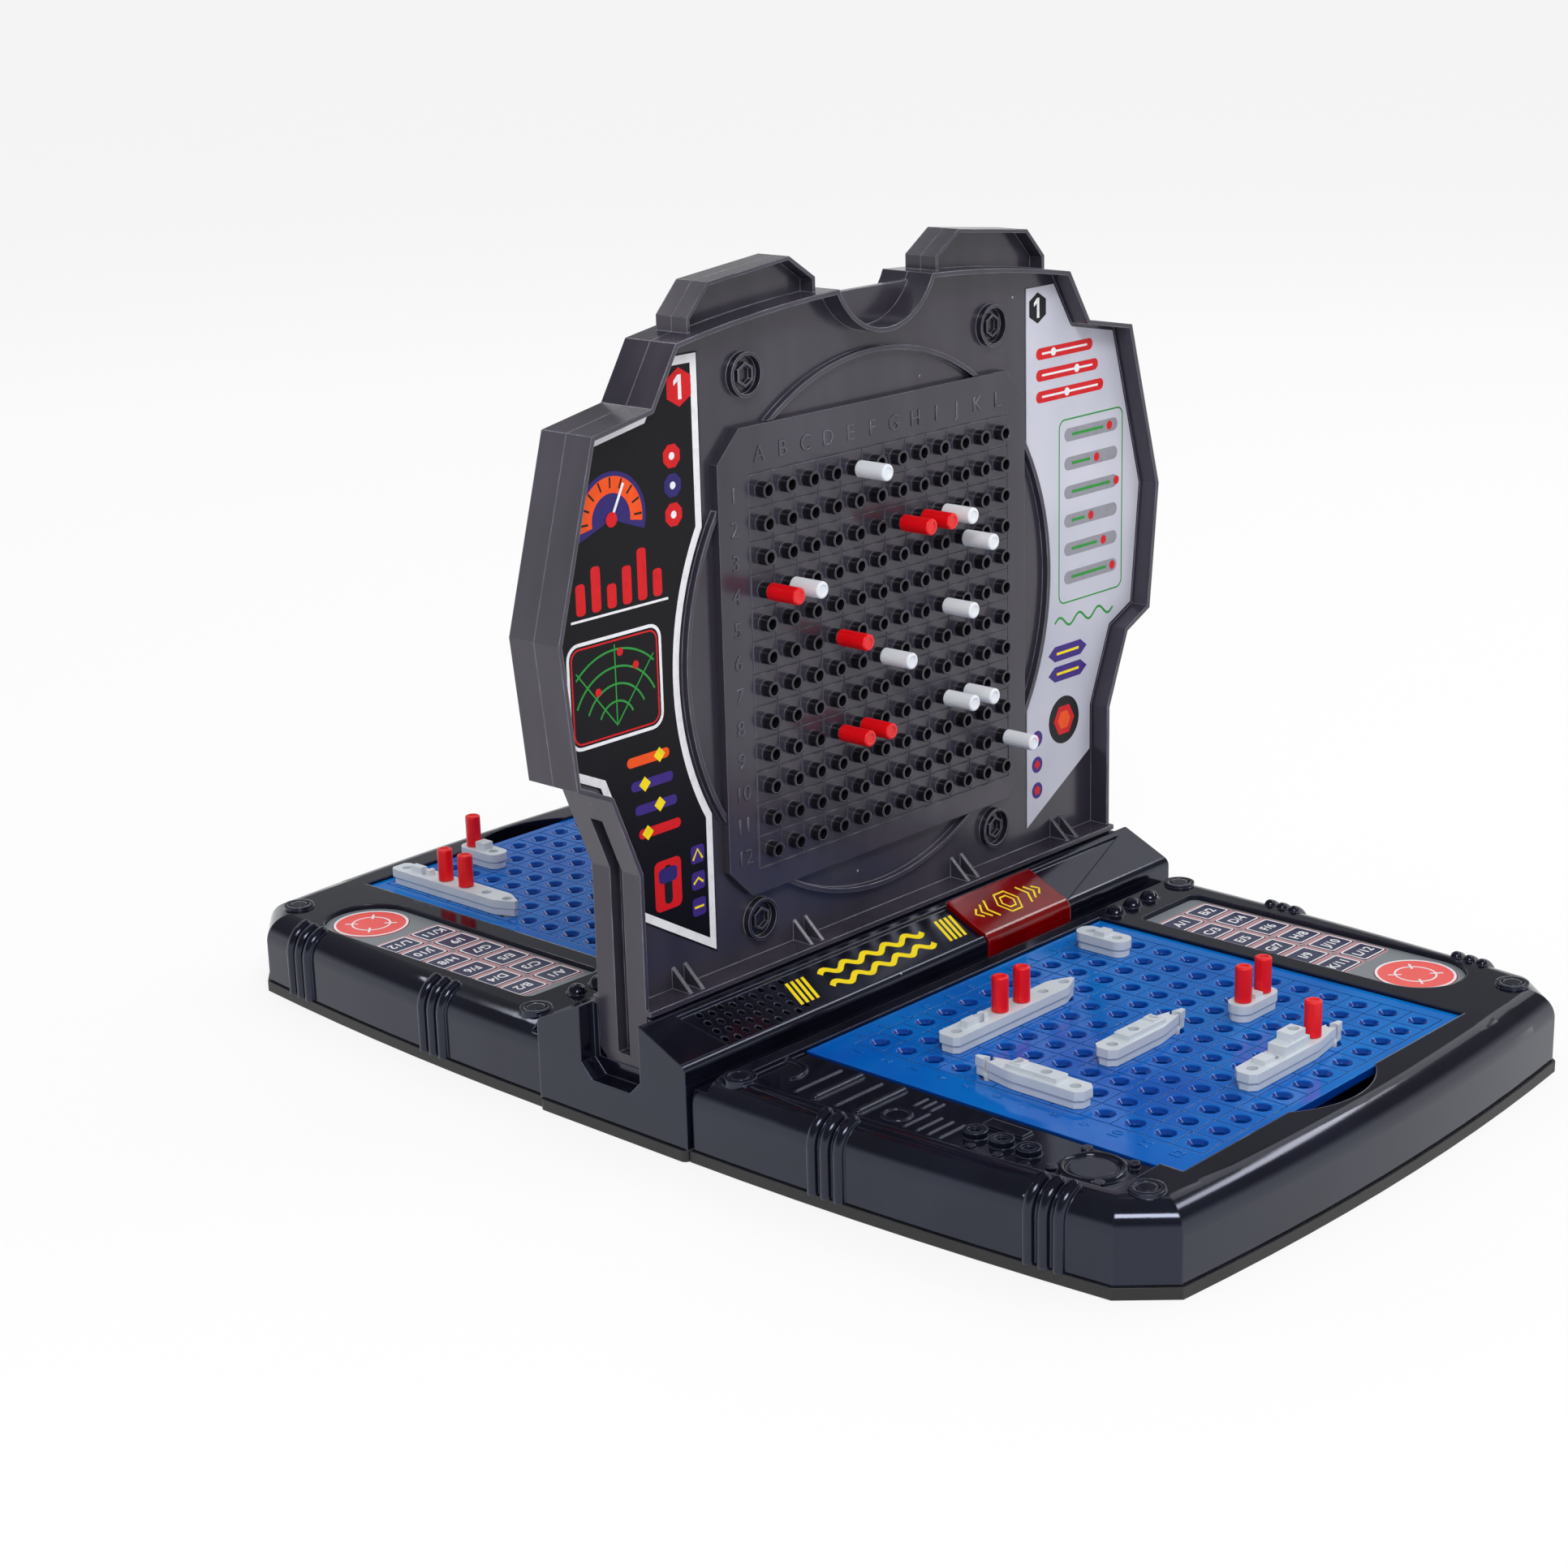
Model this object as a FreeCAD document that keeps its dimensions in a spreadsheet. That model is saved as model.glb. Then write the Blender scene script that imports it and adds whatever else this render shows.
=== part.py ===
import FreeCAD, Part
import Sketcher
import math
import os
from FreeCAD import Vector

# Fleet guessing case: a two-player console with an upright peg screen between two sea trays.
# X runs along the screen, the near player sits at -Y, the far player at +Y, and Z is up.
# The far side is the near side turned half a turn about Z.

doc = FreeCAD.newDocument("fleet_guessing_case")
sheet = doc.addObject("Spreadsheet::Sheet", "Sizes")

# Driving dimensions in millimetres, and counts
SIZES = [
    ("wall", 2.2, "moulded wall"),
    ("snug_gap", 0.15, "gap between pieces that seat on each other"),
    ("running_gap", 0.4, "gap round pieces that lift or slide"),
    ("plinth_height", 3.5, "height of the base plates"),
    ("plinth_proud", 0.8, "how far the base plates stand out from the walls"),
    ("plinth_sole", 1.4, "height of the rim that the case stands on"),
    ("sole_width", 4.0, "width of that rim"),
    ("console_length", 236.0, "console along X"),
    ("console_depth", 62.0, "console along Y"),
    ("ridge_height", 29.0, "outer edge of the console's sloping top"),
    ("ridge_round", 3.0, "rounding of that edge"),
    ("crest_height", 37.3, "top of the console beside the slot"),
    ("crest_width", 26.0, "flat top across the slot"),
    ("slot_floor", 20.5, "floor of the screen's slot"),
    ("notch_reach", 2.0, "how much wider the end notch is than the slot, each side"),
    ("notch_drop", 5.3, "how far the end notch goes below the slot's floor"),
    ("notch_chamfer", 4.5, "cut corners of the end notch"),
    ("notch_depth", 6.0, "end notch along X"),
    ("panel_sink", 1.0, "depth of the sloping centre panel"),
    ("panel_start", -104.0, "panel's end beside the sound holes"),
    ("panel_border", 1.6, "edge left round the panel across the slope"),
    ("window_start", 19.5, "lamp window's first edge along X"),
    ("window_length", 42.8, "lamp window along X"),
    ("window_thickness", 1.8, "lamp window's wall"),
    ("window_proud", 0.6, "how far the lamp window stands out"),
    ("window_drop", 6.5, "how far the lamp window comes down below the ridge"),
    ("swoop_run", 48.0, "length of the sweeping end block along the ridge"),
    ("sound_hole", 2.2, "sound hole diameter"),
    ("sound_pitch", 4.4, "sound hole spacing"),
    ("sound_start", -96.0, "first sound hole along X"),
    ("sound_rows", 4, "rows of sound holes"),
    ("sound_columns", 9, "columns of sound holes"),
    ("tray_gap", 0.3, "joint line between console and tray"),
    ("tray_width", 234.8, "tray at the console"),
    ("tray_taper", 8.1, "how far each side draws in by the corner"),
    ("tray_reach", 162.9, "tray from the console to the middle of its outer edge"),
    ("outer_bow", 4.9, "bow of the outer edge"),
    ("corner_cut_x", 12.3, "cut corner along X"),
    ("corner_cut_y", 14.0, "cut corner along Y"),
    ("deck_height", 25.8, "top of the trays"),
    ("edge_round", 8.5, "rounded top edge of the trays"),
    ("rib_radius", 1.9, "half-round ribs over the edge"),
    ("rib_pitch", 4.7, "spacing of the ribs in a group"),
    ("rib_wrap", 75.0, "degrees that the ribs go round the edge"),
    ("rib_inner_group", 51.2, "middle of the inner rib group from the console"),
    ("rib_outer_group", 123.2, "middle of the outer rib group from the console"),
    ("gutter_width", 5.5, "gutter between console and deck"),
    ("gutter_sink", 3.6, "depth of the gutter"),
    ("sea_pitch", 10.25, "hole spacing of the sea plates"),
    ("grid_count", 12, "holes along each side of a grid"),
    ("plate_left", -78.4, "near plate's left edge along X"),
    ("plate_start", 42.0, "near plate's inner edge from the middle of the case"),
    ("plate_margin_left", 18.6, "plate edge to the first hole, numbers' side"),
    ("plate_margin_right", 11.2, "last hole to the plate edge, keypad side"),
    ("plate_margin_inner", 12.4, "plate edge to the first hole, letters' side"),
    ("plate_margin_outer", 8.4, "last hole to the plate's outer edge"),
    ("plate_thickness", 2.6, "sea plate"),
    ("plate_sink", 1.0, "sea plate's top below the deck"),
    ("sea_hole", 3.7, "hole in the sea plate"),
    ("sea_dish", 6.4, "dished mouth of that hole"),
    ("sea_dish_depth", 1.2, "depth of the dish"),
    ("line_width", 0.5, "grid lines in plates and screen"),
    ("line_depth", 0.35, "depth of the grid lines"),
    ("ledge_width", 5.0, "ledge that the sea plate rests on"),
    ("well_floor", 5.7, "floor of the storage well"),
    ("finger_span", 46.0, "finger notch along the plate's edge"),
    ("finger_reach", 8.5, "finger notch beyond the plate's edge"),
    ("finger_sink", 12.0, "depth of the finger notch"),
    ("relief_sink", 1.6, "depth of the moulded panel on the player's left"),
    ("relief_floor", 2.4, "plastic left under sunk panels"),
    ("keypad_centre", 87.0, "middle of the keypad along X"),
    ("key_row_gap", 14.3, "spacing of the two rows of keys"),
    ("key_first", 63.3, "first keys from the middle of the case"),
    ("key_pitch", 11.87, "key spacing along a row"),
    ("key_columns", 6, "keys in a row"),
    ("key_width", 12.0, "key along X"),
    ("key_length", 9.6, "key along Y"),
    ("key_thickness", 0.6, "key"),
    ("key_gap", 0.2, "slit round each key"),
    ("key_proud", 0.15, "key above the film"),
    ("film_width", 30.4, "keypad film along X"),
    ("film_start", 52.3, "keypad film's inner end from the middle of the case"),
    ("film_thickness", 1.1, "keypad film with its spacer"),
    ("film_round", 3.0, "corners at the film's inner end"),
    ("film_sink", 1.7, "film below the deck"),
    ("circuit_thickness", 0.6, "printed switch sheet under the film"),
    ("fire_centre", 146.0, "fire button from the middle of the case"),
    ("fire_diameter", 25.0, "fire button"),
    ("dome_radius", 3.4, "domes beside the keypad"),
    ("dome_pitch", 9.4, "spacing of the domes"),
    ("dome_first", 71.0, "first dome along X"),
    ("disc_diameter", 10.0, "ringed discs at the corners"),
    ("disc_height", 0.9, "ringed discs"),
    ("screen_thickness", 20.0, "both halves of the screen"),
    ("screen_rim", 1.4, "rim wall round the screen"),
    ("face_sink", 6.8, "rim to the recessed face"),
    ("face_wall", 2.2, "recessed face"),
    ("leg_half", 112.0, "half the screen's width at its legs"),
    ("leg_width", 14.0, "leg that stands in the slot"),
    ("leg_cut", 3.0, "cut corners of the legs"),
    ("tongue_drop", 8.0, "tongue that goes into the slot between the legs"),
    ("flange_height", 38.0, "underside of the screen's bottom flange"),
    ("flange_thickness", 1.6, "bottom flange"),
    ("flange_proud", 2.0, "bottom flange beyond the rim"),
    ("channel_width", 5.0, "channel down the side of each leg"),
    ("channel_depth", 4.0, "depth of that channel"),
    ("waist_height", 81.0, "where the legs start to spread"),
    ("hip_height", 105.8, "where they reach the hips"),
    ("hip_half", 122.0, "half width there"),
    ("wing_low_height", 111.5, "low corner of the wings"),
    ("wing_low_half", 134.5, "half width there"),
    ("wing_height", 154.0, "widest point of the wings"),
    ("wing_half", 139.0, "half width there"),
    ("shoulder_height", 209.6, "outer shoulder"),
    ("shoulder_half", 123.0, "half width there"),
    ("neck_height", 213.8, "inner shoulder"),
    ("neck_half", 100.0, "half width there"),
    ("brow_height", 230.6, "outer end of the top edge"),
    ("brow_half", 89.5, "half width there"),
    ("top_height", 237.6, "inner end of the top edge"),
    ("scoop_half", 21.2, "half width of the scoop in the top edge"),
    ("scoop_depth", 13.6, "depth of the scoop"),
    ("top_bow", 1.2, "bow of the top edge beside the scoop"),
    ("web_thickness", 1.1, "web that closes the scoop, each half"),
    ("web_drop", 2.4, "web's top below the top edge"),
    ("tower_inner", 27.4, "tower's inner side"),
    ("tower_outer", 81.0, "tower's outer side"),
    ("tower_height", 13.0, "tower above the top edge"),
    ("tower_wall", 1.1, "tower's walls"),
    ("inner_bevel_x", 10.9, "tower's inner bevel along X"),
    ("inner_bevel_z", 7.1, "tower's inner bevel along Z"),
    ("outer_bevel_x", 8.7, "tower's outer bevel along X"),
    ("outer_bevel_z", 9.0, "tower's outer bevel along Z"),
    ("tower_thickness", 12.2, "tower through both halves"),
    ("panel_half", 70.8, "half the stud panel's width"),
    ("panel_low", 60.3, "stud panel's bottom"),
    ("panel_high", 202.3, "stud panel's top"),
    ("panel_cut", 9.3, "stud panel's cut corners"),
    ("panel_raise", 2.8, "stud panel above the recessed face"),
    ("stud_pitch", 10.0, "stud spacing"),
    ("stud_shift", 1.75, "stud grid to the right of the middle, for the numbers"),
    ("stud_top_row", 183.3, "height of the first row of studs"),
    ("stud_diameter", 4.8, "stud"),
    ("stud_hole", 3.4, "stud's hole"),
    ("stud_height", 3.7, "stud above its panel"),
    ("ring_radius", 84.5, "large round ridge behind the stud panel"),
    ("ring_height", 132.5, "its centre"),
    ("ring_width", 1.5, "its width"),
    ("ring_raise", 2.2, "its height above the recessed face"),
    ("boss_half", 56.5, "ring bosses from the middle"),
    ("boss_low", 51.3, "lower bosses"),
    ("boss_high", 217.0, "upper bosses"),
    ("boss_diameter", 13.2, "ring boss"),
    ("boss_bore", 11.3, "inside of the ring"),
    ("boss_raise", 2.2, "ring boss above the recessed face"),
    ("hex_size", 6.4, "hexagon inside the ring, across its flats"),
    ("gusset_inner", 38.0, "inner gusset pair from the middle"),
    ("gusset_outer", 91.0, "outer gusset pair from the middle"),
    ("gusset_gap", 5.0, "spacing of the two gussets of a pair"),
    ("gusset_width", 1.3, "gusset"),
    ("gusset_height", 7.0, "gusset"),
    ("sticker_thickness", 0.3, "stickers"),
    ("sticker_border", 1.2, "gap between the rim and a sticker"),
    ("sticker_inner", 75.0, "inner edge of a sticker"),
    ("sticker_low", 46.0, "lowest point of a sticker"),
    ("sticker_high", 226.2, "top of a sticker"),
    ("sticker_foot", 66.0, "where a sticker's slanting end meets the rim"),
    ("peg_diameter", 5.2, "peg"),
    ("peg_length", 11.0, "peg's body"),
    ("peg_tip_diameter", 3.1, "peg's tip"),
    ("peg_tip_length", 4.0, "peg's tip"),
    ("peg_slit", 0.8, "slit in the tip"),
    ("peg_dimple", 3.0, "hollow in the peg's head"),
    ("peg_dimple_depth", 0.25, "depth of that hollow"),
    ("peg_round", 0.6, "rounded edge of the peg's head"),
    ("hull_width", 8.0, "ships across"),
    ("hull_height", 5.4, "ships' decks above the plate"),
    ("hull_lip", 0.5, "how far the upper hull overhangs"),
    ("hull_step", 2.6, "height of the lower hull"),
    ("deck_hole_depth", 4.4, "peg holes in the ships"),
    ("ship_pin", 3.2, "pins under the ships"),
    ("ship_pin_length", 2.4, "pins under the ships"),
    ("battery_diameter", 14.2, "battery"),
    ("battery_length", 49.5, "battery's can"),
    ("battery_nub", 5.4, "battery's nub diameter"),
    ("battery_nub_length", 1.0, "battery's nub"),
    ("battery_count", 3, "batteries side by side"),
    ("contact_thickness", 0.5, "battery contact plates"),
    ("bay_wall", 1.4, "battery bay's walls"),
    ("door_thickness", 1.6, "battery door"),
    ("door_travel", 10.0, "battery door's slide"),
    ("door_rise", 0.5, "battery door above the table"),
    ("board_thickness", 1.2, "circuit board"),
    ("board_height", 19.5, "circuit board above the table"),
    ("lamp_diameter", 5.0, "lamps under the windows"),
    ("lamp_height", 4.5, "lamps"),
    ("speaker_width", 13.0, "speaker across the slope"),
    ("speaker_length", 30.0, "speaker along X"),
    ("speaker_thickness", 3.5, "speaker"),
    ("switch_place", -70.0, "power switch along X"),
    ("switch_length", 6.0, "switch knob"),
    ("switch_width", 4.0, "switch knob"),
    ("switch_travel", 4.0, "switch knob's slide"),
    ("screw_head", 5.6, "screw head diameter"),
    ("screw_head_height", 1.6, "screw head"),
    ("screw_shank", 2.8, "screw shank diameter"),
    ("screw_length", 9.0, "screw shank"),
    ("boss_wall", 1.9, "plastic round the screws"),
    ("hook_width", 14.0, "hooks that hold the trays to the console"),
    ("hook_height", 3.0, "those hooks"),
    ("hook_level", 9.0, "underside of those hooks"),
    ("hook_place", 70.0, "those hooks from the middle along X"),
]

for row, (alias, value, note) in enumerate(SIZES, start=1):
    sheet.set("A%d" % row, note)
    sheet.set("B%d" % row, str(value))
    sheet.setAlias("B%d" % row, alias)
doc.recompute()


def size(alias):
    return float(sheet.get(alias))


def count(alias):
    return int(round(float(sheet.get(alias))))


HALF_TURN = FreeCAD.Placement(Vector(0, 0, 0), FreeCAD.Rotation(Vector(0, 0, 1), 180))
PIECES = []


def piece(label, shape, placement=FreeCAD.Placement()):
    """A sub-part whose shape is made with Part's functions."""
    made = doc.addObject("Part::Feature", label)
    made.Label = label
    made.Shape = shape
    made.Placement = placement.multiply(shape.Placement)
    PIECES.append(made)
    return made


def block(x0, x1, y0, y1, z0, z1):
    return Part.makeBox(x1 - x0, y1 - y0, z1 - z0, Vector(x0, y0, z0))


def upright(diameter, height, x, y, z):
    return Part.makeCylinder(diameter / 2, height, Vector(x, y, z))


def outline(corners, place):
    """Closed wire through corners (a, b, radius); place turns a plane point into a point in space."""
    ends = []
    total = len(corners)
    for number, (a, b, radius) in enumerate(corners):
        here = Vector(a, b, 0)
        before = Vector(corners[number - 1][0], corners[number - 1][1], 0)
        after = Vector(corners[(number + 1) % total][0], corners[(number + 1) % total][1], 0)
        if radius <= 0:
            ends.append((here, None, here))
            continue
        back = (before - here).normalize()
        ahead = (after - here).normalize()
        half_angle = math.acos(max(-1.0, min(1.0, back.dot(ahead)))) / 2
        reach = radius / math.tan(half_angle)
        inward = (back + ahead).normalize()
        middle = here + inward * (radius / math.sin(half_angle) - radius)
        ends.append((here + back * reach, middle, here + ahead * reach))
    edges = []
    for number, (start, middle, end) in enumerate(ends):
        if middle is not None:
            edges.append(Part.Arc(place(start), place(middle), place(end)).toShape())
        following = ends[(number + 1) % total][0]
        if (following - end).Length > 1e-6:
            edges.append(Part.makeLine(place(end), place(following)))
    return Part.Wire(edges)


def on_floor(z):
    return lambda point: Vector(point.x, point.y, z)


def on_end(x):
    return lambda point: Vector(x, point.x, point.y)


def on_front(y):
    return lambda point: Vector(point.x, y, point.y)


def slab(corners, z0, z1):
    """Outline in X and Y, raised from z0 to z1."""
    return Part.Face(outline(corners, on_floor(z0))).extrude(Vector(0, 0, z1 - z0))


def beam(corners, x0, x1):
    """Outline in Y and Z, run from x0 to x1."""
    return Part.Face(outline(corners, on_end(x0))).extrude(Vector(x1 - x0, 0, 0))


def sheet_of(corners, y0, y1):
    """Outline in X and Z, run from y0 to y1."""
    return Part.Face(outline(corners, on_front(y0))).extrude(Vector(0, y1 - y0, 0))


def sharp(points):
    return [(a, b, 0) for a, b in points]


def both_sides(shape):
    """The shape and its copy on the far side."""
    far = shape.copy()
    far.Placement = HALF_TURN.multiply(far.Placement)
    return [shape, far]


# Values that several pieces share
console_end = size("console_length") / 2
console_side = size("console_depth") / 2
slot_half = size("screen_thickness") / 2 + size("running_gap")
notch_half = slot_half + size("notch_reach")
notch_floor = size("slot_floor") - size("notch_drop")
tray_start = console_side + size("tray_gap")
deck = size("deck_height")
plate_top = deck - size("plate_sink")
plate_under = plate_top - size("plate_thickness")
grid_span = (count("grid_count") - 1) * size("sea_pitch")
plate_right = size("plate_left") + size("plate_margin_left") + grid_span + size("plate_margin_right")
plate_end = size("plate_start") + size("plate_margin_inner") + grid_span + size("plate_margin_outer")
sea_first_x = size("plate_left") + size("plate_margin_left")
sea_outer_row = plate_end - size("plate_margin_outer")
film_top = deck - size("film_sink")
film_under = film_top - size("film_thickness")
circuit_under = film_under - size("circuit_thickness")
film_half = size("film_width") / 2
slope = math.atan2(size("crest_height") - size("ridge_height"), console_side - size("crest_width") / 2)


def sea_hole_at(column, row):
    """Middle of a hole of the near plate: columns from the left, rows from the outer edge."""
    return sea_first_x + column * size("sea_pitch"), -(sea_outer_row - row * size("sea_pitch"))


# Screws: three to each tray, and four to the console
def screw_places():
    tray_side = size("tray_width") / 2 - size("tray_taper")
    near_edge = tray_start + size("gutter_width") / 2 + size("screw_head")
    far_edge = tray_start + size("tray_reach") - size("outer_bow") - size("corner_cut_y")
    inset = size("edge_round") + size("screw_head") / 2
    near = [(-(tray_side - inset), -near_edge), (tray_side - inset, -far_edge),
            (-(tray_side - inset), -far_edge)]
    return near


def console_screw_places():
    along = console_end - size("notch_depth") - size("screw_head") * 2
    across = console_side - size("wall") - size("screw_head")
    return [(along, across), (-along, across), (along, -across), (-along, -across)]


screw_seat = size("plinth_sole") + size("screw_head_height")


def screw_boss(x, y, top):
    """Boss with its pilot hole, standing on a base plate."""
    start = size("plinth_height")
    reach = size("screw_shank") + 2 * size("boss_wall")
    boss = upright(reach, top - start, x, y, start)
    depth = screw_seat + size("screw_length") + size("running_gap") - start
    return boss.cut(upright(size("screw_shank"), depth, x, y, start))


# Console
def console_profile(grow):
    """Section of the console, moved out by grow from the nominal surface."""
    low = size("plinth_height")
    corners = [(-console_side, low, 0), (console_side, low, 0),
               (console_side, size("ridge_height"), size("ridge_round")),
               (size("crest_width") / 2, size("crest_height"), 1.5),
               (-size("crest_width") / 2, size("crest_height"), 1.5),
               (-console_side, size("ridge_height"), size("ridge_round"))]
    wire = outline(corners, on_end(0))
    if grow:
        wire = wire.makeOffset2D(grow)
    return wire


def console_solid(grow, x0, x1):
    face = Part.Face(console_profile(grow))
    face.translate(Vector(x0, 0, 0))
    return face.extrude(Vector(x1 - x0, 0, 0))


def slope_band(depth, inset, x0, x1):
    """Space over the near slope down to depth below its surface, inset from ridge and crest."""
    across = Vector(0, -math.cos(slope), -math.sin(slope))
    away = Vector(0, -math.sin(slope), math.cos(slope))
    crest = Vector(x0, -size("crest_width") / 2, size("crest_height"))
    length = math.hypot(console_side - size("crest_width") / 2, size("crest_height") - size("ridge_height"))
    start = crest + across * inset
    end = crest + across * (length - inset)
    rise = away * console_side
    sink = away * -depth
    wire = Part.makePolygon([start + sink, end + sink, end + rise, start + rise, start + sink])
    return Part.Face(wire).extrude(Vector(x1 - x0, 0, 0))


window_end = size("window_start") + size("window_length")
window_edge = -(size("crest_width") / 2 + 1.0)
window_low = size("ridge_height") - size("window_drop")


def window_opening(gap):
    return block(size("window_start") + gap, window_end - gap, -console_side * 2, window_edge - gap,
                 window_low + gap, size("crest_height") * 2)


def sunk_panel():
    """Near centre panel, from the sound holes to the sweeping end block."""
    outer = -(console_side - size("panel_border"))
    inner = -(size("crest_width") / 2 + size("panel_border"))
    stop = console_end - size("wall") * 3
    corners = sharp([(size("panel_start"), inner), (size("panel_start") + 6.0, outer),
                     (stop - size("swoop_run"), outer), (stop, inner)])
    plan = slab(corners, 0, size("crest_height") * 2)
    return plan.common(slope_band(size("panel_sink"), size("panel_border"), -console_end, console_end))


def sound_holes():
    """Cylinders square to the near slope, in staggered columns."""
    away = Vector(0, -math.sin(slope), math.cos(slope))
    across = Vector(0, -math.cos(slope), -math.sin(slope))
    length = math.hypot(console_side - size("crest_width") / 2, size("crest_height") - size("ridge_height"))
    middle = Vector(0, -size("crest_width") / 2, size("crest_height")) + across * (length / 2)
    drills = []
    for column in range(count("sound_columns")):
        stagger = (column % 2 - 0.5) * size("sound_pitch") / 2
        for row in range(count("sound_rows")):
            step = (row - (count("sound_rows") - 1) / 2) * size("sound_pitch") * 0.86 + stagger / 2
            point = middle + across * step + Vector(size("sound_start") + column * size("sound_pitch"), 0, 0)
            drills.append(Part.makeCylinder(size("sound_hole") / 2, size("wall") * 4,
                                            point - away * (size("wall") * 2), away))
    return drills


def hook_opening(x, gap):
    low = size("hook_level") - gap
    half = size("hook_width") / 2 + gap
    return block(x - half, x + half, -console_side * 1.5, -(console_side - size("wall") * 2.2),
                 low, low + size("hook_height") + 2 * gap)


def console_cover():
    wall = size("wall")
    low = size("plinth_height")
    outer = console_solid(0, -console_end, console_end)
    hollow = console_solid(-wall, -console_end + wall, console_end - wall)
    mouth = block(-console_end + wall, console_end - wall, -(console_side - wall), console_side - wall,
                  low - 1, low + wall + 1)
    body = outer.cut(hollow).cut(mouth)
    trough = block(-console_end, console_end, -(slot_half + wall), slot_half + wall,
                   size("slot_floor") - wall, size("crest_height") * 2)
    additions = [trough.common(outer)]
    for side in (-1, 1):
        edge = side * console_end
        deep = side * (console_end - size("notch_depth") - wall)
        end_block = block(min(edge, deep), max(edge, deep), -(notch_half + wall), notch_half + wall,
                          notch_floor - wall, size("crest_height") * 2)
        additions.append(end_block.common(outer))
    for x, y in console_screw_places():
        additions.append(screw_boss(x, y, size("crest_height")).common(outer))
    body = body.multiFuse(additions)
    cuts = [block(-console_end - 1, console_end + 1, -slot_half, slot_half,
                  size("slot_floor"), size("crest_height") * 2)]
    high = size("crest_height") * 2
    lower = notch_floor + size("notch_chamfer")
    inner = notch_half - size("notch_chamfer")
    section = sharp([(-notch_half, high), (-notch_half, lower), (-inner, notch_floor),
                     (inner, notch_floor), (notch_half, lower), (notch_half, high)])
    cuts.append(beam(section, console_end - size("notch_depth"), console_end + 1))
    cuts.append(beam(section, -console_end - 1, -console_end + size("notch_depth")))
    cuts += both_sides(sunk_panel())
    cuts += both_sides(window_opening(0))
    for x in (-size("hook_place"), size("hook_place")):
        cuts += both_sides(hook_opening(x, size("snug_gap")))
    for drill in sound_holes():
        cuts += both_sides(drill)
    for x, y in console_screw_places():
        depth = screw_seat + size("screw_length") + size("running_gap") - low
        cuts.append(upright(size("screw_shank"), depth, x, y, low))
    return body.cut(Part.makeCompound(cuts)).removeSplitter()


def hit_windows():
    skin = console_solid(size("window_proud"), -console_end, console_end)
    skin = skin.cut(console_solid(-size("window_thickness"), -console_end - 1, console_end + 1))
    window = skin.common(window_opening(size("snug_gap")))
    return Part.makeCompound(both_sides(window))


bay_half_length = size("battery_length") / 2 + size("battery_nub_length") + size("contact_thickness") \
    + size("running_gap")
bay_half_width = count("battery_count") * (size("battery_diameter") + size("running_gap")) / 2
battery_axis = size("door_rise") + size("door_thickness") + size("running_gap") + size("battery_diameter") / 2
switch_low = size("switch_place") - size("switch_length") / 2 - size("running_gap")
switch_high = size("switch_place") + size("switch_length") / 2 + size("switch_travel") + size("running_gap")


def rim_plate(face_of, thickness):
    """Base plate with a hollow underside, from a function that gives its face at an inset."""
    plate = face_of(0).extrude(Vector(0, 0, thickness))
    return plate.cut(face_of(size("sole_width")).extrude(Vector(0, 0, size("plinth_sole"))))


def console_base():
    wall = size("bay_wall")
    low = size("plinth_height")

    def face_of(inset):
        half_x = console_end + size("plinth_proud") - inset
        half_y = console_side - inset
        corners = [(-half_x, -half_y, 2), (half_x, -half_y, 2), (half_x, half_y, 2), (-half_x, half_y, 2)]
        return Part.Face(outline(corners, on_floor(0)))

    base = rim_plate(face_of, low)
    frame = size("door_travel") + wall * 2
    surround = block(-bay_half_length - frame, bay_half_length + frame, -bay_half_width - wall * 3,
                     bay_half_width + wall * 3, 0.2, low)
    bay = block(-bay_half_length - wall, bay_half_length + wall, -bay_half_width - wall,
                bay_half_width + wall, low - 0.5, battery_axis + size("battery_diameter") / 4)
    additions = [surround, bay]
    for x, y in console_screw_places():
        additions.append(upright(size("screw_head") + 2 * size("boss_wall"), low - 0.2, x, y, 0.2))
    additions.append(block(switch_low - wall, switch_high + wall,
                           -size("switch_width") / 2 - wall - size("running_gap"),
                           size("switch_width") / 2 + wall + size("running_gap"), 0.2, low))
    base = base.multiFuse(additions)
    room = size("running_gap")
    cuts = [block(-bay_half_length, bay_half_length, -bay_half_width, bay_half_width,
                  -1, battery_axis + size("battery_diameter"))]
    cuts.append(block(-door_half_length - room, door_half_length + room + size("door_travel"),
                      -door_half_width - room, door_half_width + room,
                      -1, size("door_rise") + size("door_thickness") + size("snug_gap")))
    for x, y in console_screw_places():
        cuts.append(upright(size("screw_head") + 2 * size("snug_gap"), screw_seat + 1, x, y, -1))
        cuts.append(upright(size("screw_shank") + 2 * size("snug_gap"), low + 2, x, y, -1))
    switch_side = size("switch_width") / 2 + room
    cuts.append(block(switch_low, switch_high, -switch_side, switch_side, -1, low + 1))
    return base.cut(Part.makeCompound(cuts)).removeSplitter()


# Battery door, batteries, contacts and switch
door_half_length = bay_half_length + size("bay_wall") / 2
door_half_width = bay_half_width + size("bay_wall") / 2


def origin_plane(body, role):
    for item in body.Origin.OriginFeatures:
        if item.Role == role:
            return item
    raise RuntimeError("no plane " + role)


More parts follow.
